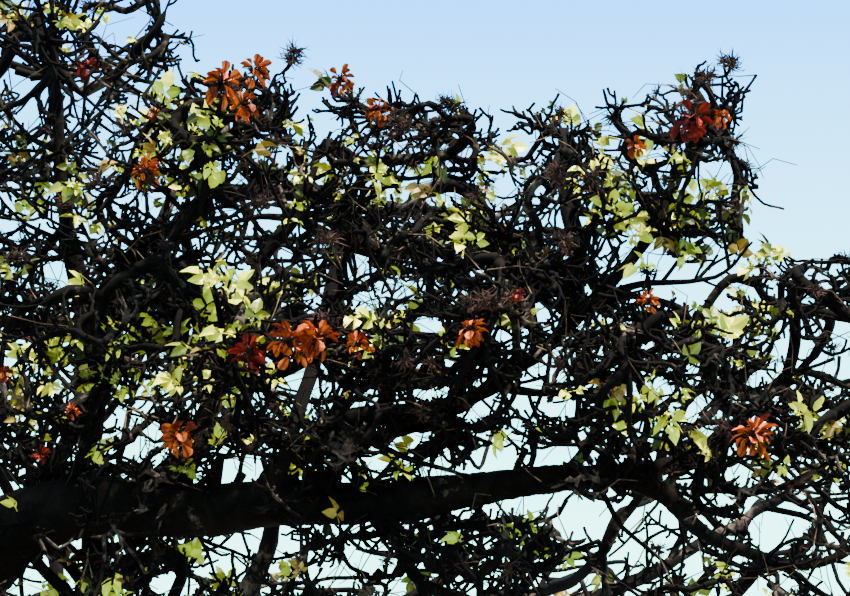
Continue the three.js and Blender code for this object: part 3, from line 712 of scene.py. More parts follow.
def fits(mass, points, clearance):
    """True where the points lie in the mass's own space, and clear of every limb but its stem."""
    depths = np.linalg.norm((points[:, None] - middles) / spreads, axis=2)
    own = depths[:, mass.order - 1].copy()
    depths[:, mass.order - 1] = 9
    if (own >= 1).any() or (depths.min(axis=1) <= own + SPACE_MARGIN).any():
        return False
    reach = np.clip(np.einsum("pij,ij->pi", points[:, None] - starts, runs) / (runs**2).sum(axis=1), 0, 1)
    gaps = np.linalg.norm(points[:, None] - starts - reach[..., None] * runs, axis=2) - girths
    gaps[:, owners == len(limbs) + mass.order - 1] = 9
    return gaps.min() >= clearance


@dataclass
class Shoot(Limb):
    """A twig: it grows from a share of the way along its parent, and carries what grows on it in turn."""
    on: object
    foot: float
    load: float = 1.0
    carried: list = field(default_factory=list)


class Places:
    """Where new twigs can start in a mass: points of grown wood, with its way and thickness there."""

    def __init__(self):
        self.count = 0
        self.point = np.zeros((MOST_PLACES, 3))
        self.along = np.zeros((MOST_PLACES, 3))
        self.size = np.zeros(MOST_PLACES)
        self.shoot = []

    def add(self, shoot, shares):
        for t in shares:
            self.point[self.count] = shoot.built(t)
            self.along[self.count] = shoot.along(t)
            self.size[self.count] = shoot.radius(t)
            self.shoot.append((shoot, t))
            self.count += 1


MOST_PLACES = 9000
KNEE_ALONG, KNEE_OUT, KNEE_WAVER = 0.14, 0.22, 0.16
ELBOW_AT, ELBOW_WAVER, ELBOW_SAG = 0.7, 0.18, 0.07
TESTED_AT = (0.3, 0.5, 0.7, 0.85, 1)


def offset(draw):
    return np.array([draw() - 0.5, draw() - 0.5, draw() - 0.5])


def grow_shoot(mass, places, tip, draw, rings, bend, clearance, straightness=0):
    """A twig to the tip from the nearest grown place, or from one that points its way."""
    away = tip - places.point[:places.count]
    gaps = np.linalg.norm(away, axis=1)
    off_line = 1 - (away * places.along[:places.count]).sum(axis=1) / gaps
    nearest = int(np.argmin(gaps * (1 + straightness * off_line)))
    root, along = places.point[nearest], places.along[nearest]
    length = np.linalg.norm(tip - root)
    straight = (tip - root) / length
    knee = root + along * KNEE_ALONG * length + straight * KNEE_OUT * length
    knee = knee + offset(draw) * KNEE_WAVER * bend * length
    elbow = root + (tip - root) * ELBOW_AT + offset(draw) * ELBOW_WAVER * bend * length
    elbow = elbow - (0, 0, ELBOW_SAG * length)
    thick = TWIG_SHARE * places.size[nearest]
    knots = np.array([root, knee, elbow, tip])
    shoot = Shoot("", knots, (thick, TWIG_TAPER * thick), rings, *places.shoot[nearest])
    samples = np.array([shoot.at(t) for t in TESTED_AT])
    if straightness and in_opening(samples):
        return None
    return shoot if fits(mass, samples, clearance) else None


def add_shoot(mass, places, shoot, shares):
    mass.shoots.append(shoot)
    shoot.on.carried.append(shoot)
    places.add(shoot, shares)


LONG_SHARE = 0.4
LONG_REACH = (0.95, 0.5)
FILL_REACH = (0.3, 0.68)
STRAIGHTNESS = 2.0
FINE_BEND = 0.7
FINE_RINGS = 6
FINE_CLEARANCE = 0.004
STEM_PLACES = (0.4, 0.5, 0.6, 0.7, 0.8, 0.9, 1.0)
TWIG_PLACES = (0.45, 0.7, 0.9)
MORE_TWIG_PLACES = (0.3, 0.6, 0.8, 1.0)
FINE_PLACES = (0.3, 0.5, 0.75, 1.0)
TOPMOST_AIM, AIM_SPAN = 0.92, 1.45
TWIG_REACH, TWIG_RETREAT = (0.82, 0.1), 0.14
THICKET_DEPTH = 1.6
FINER = {"front": 540, "outer": 330, "inner": 560}
SHORTEST = {"front": 0.02, "outer": 0.05, "inner": 0.045}

# Where the photograph shows twigs closest together: the mass, the middle in the picture, half its width and
# height, and how many more twigs are tried there.
THICKETS = [
    ("spray_mass", 690, 232, 55, 26, 230), ("central_mass", 478, 345, 50, 42, 190),
    ("leafy_mass", 590, 345, 50, 42, 160), ("right_mass", 690, 448, 55, 22, 90),
    ("right_mass", 805, 450, 45, 40, 90), ("under_mass", 290, 560, 60, 32, 120),
    ("upper_left_mass", 262, 92, 42, 24, 110), ("upper_right_mass", 560, 265, 50, 28, 80),
    ("leafy_mass", 590, 430, 55, 30, 130), ("central_mass", 475, 430, 50, 35, 110),
    ("cleft_mass", 450, 455, 40, 25, 150), ("top_left_mass", 50, 150, 50, 45, 80),
    ("near_bloom_mass", 370, 350, 45, 35, 110), ("low_left_mass", 235, 575, 30, 20, 60),
]


def add_fine_shoot(mass, places, tip, draw):
    shoot = grow_shoot(mass, places, tip, draw, FINE_RINGS, FINE_BEND, FINE_CLEARANCE, STRAIGHTNESS)
    if shoot:
        add_shoot(mass, places, shoot, FINE_PLACES)


def aimed(rise, angle):
    level = math.sqrt(1 - rise * rise)
    return np.array((level * math.cos(angle), level * math.sin(angle), rise))


def grow_mass(mass, finer, shortest):
    """The mass's stem and first twigs as in the solids, then finer twigs, and last those of its thickets."""
    draw = seeded(mass.order)
    turn = draw() * 2 * math.pi
    places = Places()
    stem = Shoot("", mass.knots, mass.thick, mass.rings, None, 0)
    mass.shoots.append(stem)
    places.add(stem, STEM_PLACES)
    for k in range(mass.twigs):
        aim = aimed(TOPMOST_AIM - AIM_SPAN * (k + 0.5) / mass.twigs, turn + k * GOLDEN_ANGLE)
        for attempt in range(TWIG_TRIES):
            reach = TWIG_REACH[0] + TWIG_REACH[1] * draw() - TWIG_RETREAT * attempt
            tip = mass.middle + aim * mass.spread * reach
            shoot = grow_shoot(mass, places, tip, draw, TWIG_RINGS, 1, LIMB_CLEARANCE)
            if shoot:
                add_shoot(mass, places, shoot, TWIG_PLACES)
                break
    for shoot in mass.shoots[1:]:
        places.add(shoot, MORE_TWIG_PLACES)
    long_ones = round(LONG_SHARE * finer)
    for k in range(finer):
        rise = 1 - 2 * ((k * GOLDEN_SHARE + 0.5 * draw()) % 1)
        aim = aimed(rise, k * GOLDEN_ANGLE + draw())
        if k < long_ones:
            share = LONG_REACH[0] - LONG_REACH[1] * k / long_ones
        else:
            share = FILL_REACH[0] + FILL_REACH[1] * math.sqrt((k - long_ones + 0.5) / (finer - long_ones))
        tip = mass.middle + aim * mass.spread * share
        if np.sqrt(((places.point[:places.count] - tip) ** 2).sum(axis=1).min()) >= shortest:
            add_fine_shoot(mass, places, tip, draw)
    for name, u, v, half_width, half_height, count in THICKETS:
        for _ in range(count if name == mass.name else 0):
            back = (THICKET_DEPTH * draw() - THICKET_DEPTH / 2) * mass.spread[1]
            _, depth = pictured(mass.middle + (0, back, 0))
            place = at_pixel(u + (2 * draw() - 1) * half_width, v + (2 * draw() - 1) * half_height, depth)
            add_fine_shoot(mass, places, place, draw)


def is_front(mass):
    return mass.thick == FRONT["thick"]


def place_of(mass):
    return "front" if is_front(mass) else "outer" if mass.name.startswith("outer") else "inner"


for mass in masses:
    grow_mass(mass, round(FINER[place_of(mass)] * FULLNESS.get(mass.name, 1)), SHORTEST[place_of(mass)])

# The twigs themselves. Each is as thick as all that grows beyond it needs, so the forks show as knots, and
# short blunt spurs stand along it where earlier shoots were shed. Their bark is the darkest on the tree,
# painted near-black as shade, with pale blotches that are painted sunlit highlights.
TIP_RADIUS = {"front": 0.0037, "back": 0.0052}
TWIG_POINTS = {"front": 0.021, "back": 0.036}
SPUR_EVERY = {"front": 0.05, "back": 0.15}
SPUR_LENGTH = {"front": (0.012, 0.045), "back": (0.03, 0.07)}
LOAD_POWER = 0.31
TWIG_THINS = 0.3
SPUR_THICK = (0.95, 0.75, 0.9)
SPUR_ALONG, SPUR_RISE, SPUR_UPTURN = 0.7, 0.35, 0.5
SPUR_BEND = 0.55
THICKEST = (1.1, 0.72)
MASS_EDGE = 1.02
UPPER_FROM, RIGHT_FROM = 3.45, 1.45
# Near-black and dark brown are painted shade; the pale tone is painted highlight on the twigs.
TWIG_PAINTED_SHADE_TONES = ((0.0006, 0.0004, 0.0003, 1), (0.003, 0.0019, 0.0012, 1), (0.08, 0.058, 0.043, 1))
twig_bark = bark_finish("twig_bark", *TWIG_PAINTED_SHADE_TONES, 0.58, 0.008)


@dataclass
class Seat:
    """The end of a twig or a spur, where leaves, blossom or a dry tuft can sit."""
    point: np.ndarray
    along: np.ndarray
    mass: Mass


def shoot_path(shoot, step, tip_radius, most):
    """The twig as a path, with the thickness that what it carries calls for at each point."""
    count = max(3, round(shoot.length() / step))
    shares = np.linspace(0, 1, count + 1)
    beyond = [1 + sum(child.load for child in shoot.carried if child.foot >= t - 0.02) for t in shares]
    thick = tip_radius * np.array(beyond) ** LOAD_POWER * (1 - TWIG_THINS * shares)
    return np.array([gnarled(shoot.at(t)) for t in shares]), np.minimum(thick, most)


def wavering(draw, reach):
    return offset(draw) * 2 * reach


def sideways(along, draw):
    """A way at right angles to another, at random round it."""
    return unit(np.cross(along, wavering(draw, 1)))


def spur_path(shoot, t, length, thick, draw):
    """A short spur on a twig or bough, with one bend, that turns up to its blunt end."""
    root = gnarled(shoot.at(t))
    side = sideways(shoot.along(t), draw)
    aim = unit(SPUR_ALONG * shoot.along(t) + side + (0, 0, SPUR_RISE))
    bend = root + aim * SPUR_BEND * length + wavering(draw, 0.1 * length)
    tip = bend + unit(aim + (0, 0, SPUR_UPTURN) + wavering(draw, 0.4)) * (1 - SPUR_BEND) * length
    return np.array([root, bend, tip]), np.array(SPUR_THICK) * thick


TWIG_PIECES = (
    "upper_left_twigs", "lower_left_twigs", "upper_right_twigs", "lower_right_twigs",
    "outer_twigs_1", "outer_twigs_2", "inner_twigs",
)
twig_nodes = {name: [] for name in TWIG_PIECES}
twig_paths = {name: [] for name in TWIG_PIECES}
seats = []


def add_path(group, points, thick, mass=None):
    """A path of the group's twigs. Its end is a seat if it belongs to a mass."""
    twig_paths[group].append((points, thick))
    if mass is not None:
        seats.append(Seat(points[-1], unit(points[-1] - points[-2]), mass))


def in_space(mass, point):
    return np.linalg.norm((point - mass.middle) / mass.spread) < MASS_EDGE


def add_twig(group, shoot, mass, side, most, draw):
    """The twig's own path, and the short spurs that stand along it."""
    add_path(group, *shoot_path(shoot, TWIG_POINTS[side], TIP_RADIUS[side], most), mass)
    shortest, longest = SPUR_LENGTH[side]
    count = round(shoot.length() / SPUR_EVERY[side] + draw() - 0.5)
    for i in range(count):
        length = shortest + (longest - shortest) * draw() ** 1.6
        points, thick = spur_path(shoot, (i + 0.2 + 0.7 * draw()) / count, length, TIP_RADIUS[side], draw)
        if in_space(mass, points[-1]) and not in_opening(points[1:]):
            add_path(group, points, thick, mass)


def front_group(point):
    height = "lower" if point[2] < UPPER_FROM else "upper"
    return height + ("_left" if point[0] < RIGHT_FROM else "_right") + "_twigs"


def side_of(mass):
    return "front" if is_front(mass) else "back"


for mass in masses:
    if is_front(mass):
        group = front_group(mass.middle)
    elif mass.name.startswith("outer"):
        group = "outer_twigs_1" if mass.order % 2 else "outer_twigs_2"
    else:
        group = "inner_twigs"
    twig_nodes[group].append(mass.name)
    draw = seeded(mass.order + 700)
    for shoot in reversed(mass.shoots):
        shoot.load = 1 + sum(child.load for child in shoot.carried)
    for k, shoot in enumerate(mass.shoots):
        add_twig(group, shoot, mass, side_of(mass), THICKEST[k > mass.twigs] * mass.thick[0], draw)

# The boughs carry such spurs as well, and the stubs of side shoots that were shed, which break their outline.
# Each row of BOUGH_TWIGS says how far apart twigs leave the bough, the stretch of it that carries them, and
# how long they are.
BOUGH_SPUR_EVERY = {"near": 0.035, "far": 0.09}
BOUGH_SPUR_LENGTH = {"near": 0.07, "far": 0.12}
BOUGH_SPUR_OUT = 0.012
BOUGH_SPUR_THICK = (0.0045, 0.15)
BOUGH_TWIG_LEAST = 0.1
BOUGH_TWIG_LOAD = (3, 55, 2)
BOUGH_TWIG_MOST = 0.012
BRANCHES = 4
BRANCH_LOAD = 2
BOUGH_TWIGS = {
    "fork_bough": (0.026, 0.25, 1, 0.2), "middle_bough": (0.045, 0, 1, 0.2), "outer_bough": (0.1, 0, 1, 0.3),
    "low_bough": (0.13, 0, 1, 0.34), "edge_bough": (0.1, 0, 1, 0.3), "great_bough": (0.03, 0, 1, 0.2),
    "upright_top": (0.022, 0.25, 0.85, 0.24), "upright_bough": (0.06, 0, 1, 0.2),
    "diagonal_bough": (0.06, 0, 1, 0.2),
}


def nearest_mass(point):
    return masses[int(np.argmin(np.linalg.norm((point - middles) / spreads, axis=1)))]


def bough_twig(root, aim, lift, length, foot, draw):
    """A shoot that comes straight from a bough or from another such shoot, lifted off the bark."""
    knee = root + lift + aim * 0.3 * length + wavering(draw, 0.05 * length)
    elbow = root + 1.4 * lift + aim * 0.72 * length + wavering(draw, 0.08 * length)
    tip = root + 1.2 * lift + aim * length + wavering(draw, 0.1 * length) + (0, 0, 0.08 * length)
    return Shoot("", np.array([root, knee, elbow, tip]), (0.006, 0.003), FINE_RINGS, None, foot)


for limb in limbs.values():
    draw = seeded(sum(limb.name.encode()))
    close = limb.name in BOUGH_TWIGS
    where = "near" if close else "far"
    count = round(limb.length() / BOUGH_SPUR_EVERY[where])
    for i in range(count):
        t = 0.04 + 0.95 * (i + draw()) / count
        length = limb.radius(t) + BOUGH_SPUR_OUT + BOUGH_SPUR_LENGTH[where] * draw() ** 1.5
        girth = BOUGH_SPUR_THICK[0] + BOUGH_SPUR_THICK[1] * limb.radius(t) * draw()
        points, thick = spur_path(limb, t, length, girth, draw)
        if in_opening(points[1:]):
            continue
        mass = nearest_mass(points[-1])
        seated = is_front(mass) or not close
        add_path(front_group(points[-1]) if close else "inner_twigs", points, thick, mass if seated else None)
    if not close:
        continue
    apart, first, last, longest = BOUGH_TWIGS[limb.name]
    for i in range(round(limb.length() * (last - first) / apart)):
        t = first + (last - first) * draw()
        along = limb.along(t) * (1 if draw() < 0.7 else -1)
        side_way = sideways(along, draw)
        root = limb.built(t) + side_way * 0.6 * limb.radius(t)
        lift = side_way * (0.4 * limb.radius(t) + 0.02)
        length = BOUGH_TWIG_LEAST + longest * draw()
        shoot = bough_twig(root, unit(1.2 * along + side_way), lift, length, t, draw)
        least, more, chancy = BOUGH_TWIG_LOAD
        shoot.load = least + more * ((length - BOUGH_TWIG_LEAST) / longest) ** 4 + chancy * draw()
        mass = nearest_mass(shoot.knots[-1])
        family = [shoot]
        for k in range(BRANCHES):
            foot = 0.2 + 0.18 * k + 0.1 * draw()
            branch_way = sideways(shoot.along(foot), draw)
            branch_aim = unit(shoot.along(foot) + branch_way)
            branch_length = (0.3 + 0.4 * draw()) * length
            branch_lift = 0.1 * length * branch_way
            branch = bough_twig(shoot.at(foot), branch_aim, branch_lift, branch_length, foot, draw)
            branch.load = BRANCH_LOAD
            family.append(branch)
        if in_opening(shoot.knots[1:]):
            continue
        for twig in family:
            if in_opening(twig.knots[1:]):
                continue
            group = front_group(twig.knots[-1])
            points, thick = shoot_path(twig, TWIG_POINTS["front"], TIP_RADIUS["front"], BOUGH_TWIG_MOST)
            add_path(group, points, thick * twig.load ** (LOAD_POWER * np.linspace(1, 0, len(thick))))
            for k in range(round(twig.length() / SPUR_EVERY["front"])):
                t = 0.2 + 0.75 * draw()
                spur_length = 0.014 + 0.04 * draw() ** 1.5
                add_path(group, *spur_path(twig, t, spur_length, TIP_RADIUS["front"], draw), mass)

# The blossom and dry tufts sit where the photograph shows them: the pixel, and for blossom its size. Those on
# the hidden sides are dealt out over the upper ends of the twigs.
seat_pixels, seat_depths = pictured(np.array([seat.point for seat in seats]))
seat_front = np.array([is_front(seat.mass) for seat in seats])


def seat_near(u, v, reach):
    """The front seat that shows near the pixel and lies closest to the viewer."""
    away = np.linalg.norm(seat_pixels - (u, v), axis=1)
    cost = seat_depths + 0.006 * away + np.where(seat_front, 0, 9) + np.where(away > reach, 1 + 0.1 * away, 0)
    return int(np.argmin(cost))


BLOOMS = [
    (88, 68, 0.75), (222, 84, 1.2), (244, 104, 0.9), (254, 72, 0.9), (152, 112, 0.45), (145, 172, 0.9),
    (340, 80, 0.8), (378, 110, 0.8), (690, 120, 1.1), (722, 118, 0.55), (635, 146, 0.55), (648, 302, 0.6),
    (517, 294, 0.4), (470, 330, 0.9), (290, 345, 1.2), (318, 338, 1.1), (247, 355, 1.0), (358, 345, 0.7),
    (180, 438, 1.05), (72, 412, 0.45), (40, 455, 0.5), (5, 373, 0.5), (752, 437, 1.2),
]
TUFTS = [
    (300, 57), (446, 106), (405, 125), (705, 80), (556, 176), (588, 182), (100, 185), (475, 300), (725, 430),
    (15, 255), (560, 245), (225, 95), (378, 118), (690, 105), (155, 180), (500, 305), (265, 205), (330, 240),
    (735, 60), (60, 205),
]
BLOOM_REACH, BLOOM_SET_OFF, BLOOM_SCALE = 30, 0.04, 0.68
TUFTS_EACH, TUFT_REACH, TUFT_SET_OFF = 3, 25, 0.02
JOIN_THICK = (0.0032, 0.0028, 0.003)
FORM_SEED = 91
chance = seeded(FORM_SEED)
bloom_seats, tuft_seats = [], []


def seated_at(u, v, reach, set_off):
    """A place that shows at the pixel, and the short stalk that joins it to the nearest seat."""
    seat = seats[seat_near(u, v, reach)]
    depth = pictured(seat.point)[1] - set_off
    place = at_pixel(u, v, depth)
    bend = 0.5 * (seat.point + place) - (0, 0, 0.12 * np.linalg.norm(place - seat.point))
    add_path(front_group(place), np.array([seat.point, bend, place]), np.array(JOIN_THICK))
    return place, unit(unit(place - seat.point + (0, 0, 0.01)) + (0, 0, 0.4))


def outside_picture(point):
    (u, v), _ = pictured(point)
    return not (-30 < u < PICTURE[0] + 30 and -30 < v < PICTURE[1] + 30)


for u, v, size in BLOOMS:
    place, aim = seated_at(u, v, BLOOM_REACH, BLOOM_SET_OFF)
    bloom_seats.append((place, unit(aim + wavering(chance, 0.6) + (0, -0.5, 0.1)), BLOOM_SCALE * size))
for u, v in TUFTS:
    for _ in range(TUFTS_EACH):
        across, down = 22 * chance() - 11, 14 * chance() - 7
        place, aim = seated_at(u + across, v + down, TUFT_REACH, TUFT_SET_OFF)
        tuft_seats.append((place, aim, 0.7 + 0.5 * chance()))

BACK_BLOOMS = 3
TUFT_SHARE = {"front": 0.016, "back": 0.012}
for mass in masses:
    own = [seat for seat in seats if seat.mass is mass]
    if not is_front(mass):
        off_axis = np.linalg.norm(mass.middle[:2])
        upper = sorted(own, key=lambda seat: (
            seat.point[2] - mass.middle[2] + 0.5 * abs(np.linalg.norm(seat.point[:2]) - off_axis)))
        picked = [seat for seat in upper[-len(upper) // 3:] if outside_picture(seat.point)]
        for k in range(BACK_BLOOMS if picked else 0):
            seat = picked[int((k + chance()) / BACK_BLOOMS * len(picked)) % len(picked)]
            bloom_seats.append((seat.point, unit(seat.along + (0, 0, 0.6)), 0.95 + 0.5 * chance()))
    for seat in own:
        if chance() < TUFT_SHARE[side_of(mass)]:
            tuft_seats.append((seat.point, seat.along, 0.6 + 0.6 * chance()))

for name, paths in twig_paths.items():
    twigs = tube_piece(name, paths, twig_bark, 4 if name[:5] in ("outer", "inner") else 5)
    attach(twigs, "root")
    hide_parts(*twig_nodes[name])

# Thin dead stalks stand out from the twigs: what is left of last year's flower heads and leaf stems. They are
# dry, light brown and no thicker than wire.
DEAD_STALKS = {"front": 100, "back": 40}
DEAD_RADIUS = {"front": 0.0014, "back": 0.0022}
DEAD_STRETCH = {"front": 1, "back": 1.5}
DEAD_TONES = ((0.012, 0.007, 0.004, 1), (0.045, 0.027, 0.014, 1), (0.12, 0.08, 0.045, 1))
stalk_paths = []
for mass in masses:
    own = [seat for seat in seats if seat.mass is mass]
    for _ in range(DEAD_STALKS[side_of(mass)]):
        seat = own[int(chance() * len(own)) % len(own)]
        length = (0.05 + 0.1 * chance()) * DEAD_STRETCH[side_of(mass)]
        aim = unit(seat.along + wavering(chance, 0.9))
        bend = seat.point + aim * 0.5 * length + wavering(chance, 0.12 * length)
        tip = bend + unit(aim + wavering(chance, 0.5) - (0, 0, 0.3)) * 0.5 * length
        if in_space(mass, tip):
            thick = np.array([1.2, 1, 0.8]) * DEAD_RADIUS[side_of(mass)]
            stalk_paths.append((np.array([seat.point, bend, tip]), thick))
stalks = tube_piece("dead_stalks", stalk_paths, bark_finish("dead_stalks", *DEAD_TONES, 0.5, 0.01), 3)
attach(stalks, "root")

# The leaves: three pointed leaflets at the end of a thin stalk, folded along their ribs. They stand in sprays
# of a few at the ends of twigs and spurs, mostly young and yellow-green, and thickest where the photograph
# shows them. Their tints are lit and shaded copies: the brightest yellow-green is partly painted light
# shining through them, and the deepest green is partly painted shade.
spray_tree, given = node_tree("sprays", ("Forms", "Collection"))
forms = add(spray_tree, "GeometryNodeCollectionInfo", {
    "Collection": given["Forms"], "Separate Children": True})
kind = add(spray_tree, "GeometryNodeInputNamedAttribute", {"Name": "kind"}, data_type="INT")
turn = add(spray_tree, "GeometryNodeInputNamedAttribute", {"Name": "turn"}, data_type="FLOAT_VECTOR")
scale = add(spray_tree, "GeometryNodeInputNamedAttribute", {"Name": "size"}, data_type="FLOAT")
end_tree(spray_tree, given, add(spray_tree, "GeometryNodeInstanceOnPoints", {
    "Points": given["Geometry"], "Instance": forms, "Pick Instance": True, "Instance Index": kind,
    "Rotation": add(spray_tree, "FunctionNodeEulerToRotation", {"Euler": turn}), "Scale": scale}))


def blade(length, breadth, profile, bend, fold):
    """A leaflet or petal along +X, bent down over its length and folded up along its rib."""
    points, faces, ribs, rows = [], [], [], []
    x = z = previous = 0
    for share, width in profile:
        step = (share - previous) * length
        x += step * math.cos(bend * share)
        z -= step * math.sin(bend * share)
        previous = share
        half = 0.5 * breadth * width
        row = [(x, half, z + fold * half), (x, 0, z), (x, -half, z + fold * half)] if width else [(x, 0, z)]
        rows.append(range(len(points), len(points) + len(row)))
        points += row
        ribs += [width, 0.0, width] if width else [0.0]
    for a, b in zip(rows, rows[1:]):
        if len(a) == 1:
            faces += [(a[0], b[1], b[0]), (a[0], b[2], b[1])]
        elif len(b) == 1:
            faces += [(a[0], a[1], b[0]), (a[1], a[2], b[0])]
        else:
            faces += [(a[0], a[1], b[1], b[0]), (a[1], a[2], b[2], b[1])]
    return np.array(points, dtype=float), faces, ribs


def thin_stalk(path, thick):
    """A three-sided stalk along the path that ends in a point."""
    points, faces = [], []
    path = [np.array(point, dtype=float) for point in path]
    for i, point in enumerate(path[:-1]):
        along = unit(path[i + 1] - point)
        side = unit(np.cross(along, (0.3, 0.2, 1)))
        other = np.cross(along, side)
        for k in range(3):
            angle = k * 2 * math.pi / 3
            out = side * math.cos(angle) + other * math.sin(angle)
            points.append(point + out * thick * (1 - 0.3 * i / len(path)))
    last = len(points)
    points.append(path[-1])
    for i in range(len(path) - 2):
        for k in range(3):
            j = (k + 1) % 3
            faces.append((3 * i + k, 3 * i + j, 3 * i + 3 + j, 3 * i + 3 + k))
    for k in range(3):
        faces.append((last - 3 + k, last - 3 + (k + 1) % 3, last))
    return np.array(points), faces, [0.5] * len(points)


def turned(part, turn, shift):
    """The part turned by Euler angles and moved."""
    points, faces, ribs = part
    about_x, about_y, about_z = (Matrix.Rotation(angle, 3, axis) for angle, axis in zip(turn, "XYZ"))
    return points @ np.array(about_z @ about_y @ about_x).T + shift, faces, ribs


def add_form(collection, name, parts):
    """One of the few shapes that a scattered piece repeats, made of the parts."""
    points, faces, ribs = [], [], []
    for part_points, part_faces, part_ribs in parts:
        faces += [tuple(len(points) + i for i in face) for face in part_faces]
        points += part_points.tolist()
        ribs += part_ribs
    mesh = bpy.data.meshes.new(name)
    mesh.from_pydata(points, [], faces)
    mark(mesh, "rib", "FLOAT", ribs)
    collection.objects.link(bpy.data.objects.new(name, mesh))


def scattered(name, rows, collection, finish):
    """One piece of all the rows: a place, the way it faces, the way its top faces, a size and a form."""
    mesh = bpy.data.meshes.new(name)
    places, facings, tops, sizes, kinds = zip(*rows)
    mesh.from_pydata([tuple(place) for place in places], [], [])
    turns = []
    for facing, top in zip(facings, tops):
        side = unit(np.cross(top, facing))
        turns.append(Matrix(np.stack([facing, side, np.cross(facing, side)], axis=1).tolist()).to_euler())
    mark(mesh, "turn", "FLOAT_VECTOR", turns)
    mark(mesh, "size", "FLOAT", sizes)
    mark(mesh, "kind", "INT", kinds)
    piece = shaped(name, mesh, spray_tree, finish, Forms=collection)
    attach(piece, "root")


def forget(collection):
    for form in list(collection.objects):
        bpy.data.objects.remove(form)
    bpy.data.collections.remove(collection)


def soft_finish(name, rib_colour, low, high, roughness, gloss=0.12):
    """The finish of leaves and petals: a given colour along the rib, which in the petals is painted shade in
    their fold, and uneven tones elsewhere.
    """
    finish, tree, surface = new_finish(name, {"Roughness": roughness, "Specular IOR Level": gloss})
    place = add(tree, "ShaderNodeTexCoord", out="Object")
    patches = add(tree, "ShaderNodeTexNoise", {"Vector": place, "Scale": 24, "Detail": 3})
    tones = ramp(tree, patches, (0.36, low), (0.64, high))
    rib = add(tree, "ShaderNodeAttribute", out="Fac", attribute_name="rib")
    edge = add(tree, "ShaderNodeMapRange", {"Value": rib, "From Min": 0, "From Max": 0.4})
    blend = add(tree, "ShaderNodeMix", {0: edge, 6: rib_colour, 7: tones}, 2, data_type="RGBA")
    veins = add(tree, "ShaderNodeTexNoise", {"Vector": place, "Scale": 260})
    bump = add(tree, "ShaderNodeBump", {"Strength": 0.3, "Distance": 0.001, "Height": veins})
    feed(surface, {"Base Color": blend, "Normal": bump})
    return finish


LEAFLET = [(0, 0), (0.33, 1.0), (0.68, 0.74), (1, 0)]
LEAFLET_LENGTH = 0.056
LEAFLET_BREADTH = 0.037
LEAF_STALK = 0.034
STALK_RADIUS = 0.0018
# For each form: bend, fold, droop of the stalk, spread of the side leaflets, how large these are.
LEAF_FORMS = [
    (0.5, 0.35, 0.15, 1.25, 0.9), (0.9, 0.7, 0.35, 1.0, 0.8), (0.25, 0.5, 0.05, 1.45, 0.85),
    (0.7, 0.2, 0.25, 1.1, 0.95),
]
leaf_forms = bpy.data.collections.new("leaf_forms")
for index, (bend, fold, droop, spread, smaller) in enumerate(LEAF_FORMS):
    end = np.array((LEAF_STALK, 0, -droop * LEAF_STALK))
    beyond = end + (0.009, 0, -0.004)
    stalk = thin_stalk([(0, 0, 0), (0.55 * LEAF_STALK, 0, -0.3 * droop * LEAF_STALK), beyond], STALK_RADIUS)
    middle = blade(LEAFLET_LENGTH, LEAFLET_BREADTH, LEAFLET, bend, fold)
    parts = [stalk, turned(middle, (0.15 * index, 0.3 * droop, 0.1), beyond)]
    for way in (1, -1):
        side = blade(smaller * LEAFLET_LENGTH, smaller * LEAFLET_BREADTH, LEAFLET, bend, fold)
        parts.append(turned(side, (-0.35 * way, 0.2 + 0.2 * droop, way * spread), end))
    add_form(leaf_forms, f"leaf_{index + 1}", parts)

# Left, top, right and bottom of each leafy patch of the crown as it shows in the photograph.
LEAFY = [
    (10, 0, 130, 45), (110, 75, 250, 175), (0, 330, 250, 400), (150, 280, 265, 330), (340, 150, 450, 205),
    (480, 140, 525, 215), (555, 100, 605, 145), (270, 170, 345, 230), (400, 205, 480, 250),
    (590, 165, 705, 240), (735, 190, 765, 220), (765, 235, 795, 265), (680, 305, 795, 365),
    (605, 380, 675, 425), (325, 470, 390, 515), (715, 40, 765, 80), (345, 315, 405, 355), (0, 560, 150, 596),
    (805, 415, 850, 450), (10, 150, 100, 240), (270, 250, 330, 300), (640, 240, 760, 300),
]
LEAF_CHANCE = {"leafy": 0.13, "bare": 0.014, "back": 0.055}
LEAF_SIZE = {"front": 0.6, "back": 1.15}
# The brightest tint is partly the leaves' own young yellow-green and partly painted light shining through
# them; the deepest is their dark green made darker as painted shade.
LEAF_TINTS = {
    "light_leaves": (0.58, 0.45, ((0.72, 0.71, 0.035, 1), (0.47, 0.49, 0.003, 1), (0.78, 0.77, 0.010, 1))),
    "green_leaves": (0.20, 0.32, ((0.22, 0.24, 0.02, 1), (0.09, 0.11, 0.002, 1), (0.22, 0.24, 0.005, 1))),
    "deep_leaves": (
        0.12, 0.12, ((0.035, 0.045, 0.007, 1), (0.010, 0.018, 0.002, 1), (0.035, 0.05, 0.004, 1))),
    "young_leaves": (0.10, 0.3, ((0.28, 0.17, 0.03, 1), (0.16, 0.08, 0.006, 1), (0.30, 0.19, 0.01, 1))),
}
in_leafy = np.zeros(len(seats), dtype=bool)
for left, top, right, bottom in LEAFY:
    in_leafy |= ((seat_pixels > (left, top)) & (seat_pixels < (right, bottom))).all(axis=1)
leaf_rows = {name: [] for name in LEAF_TINTS}
tint_ends = np.cumsum([share for share, _, _ in LEAF_TINTS.values()])
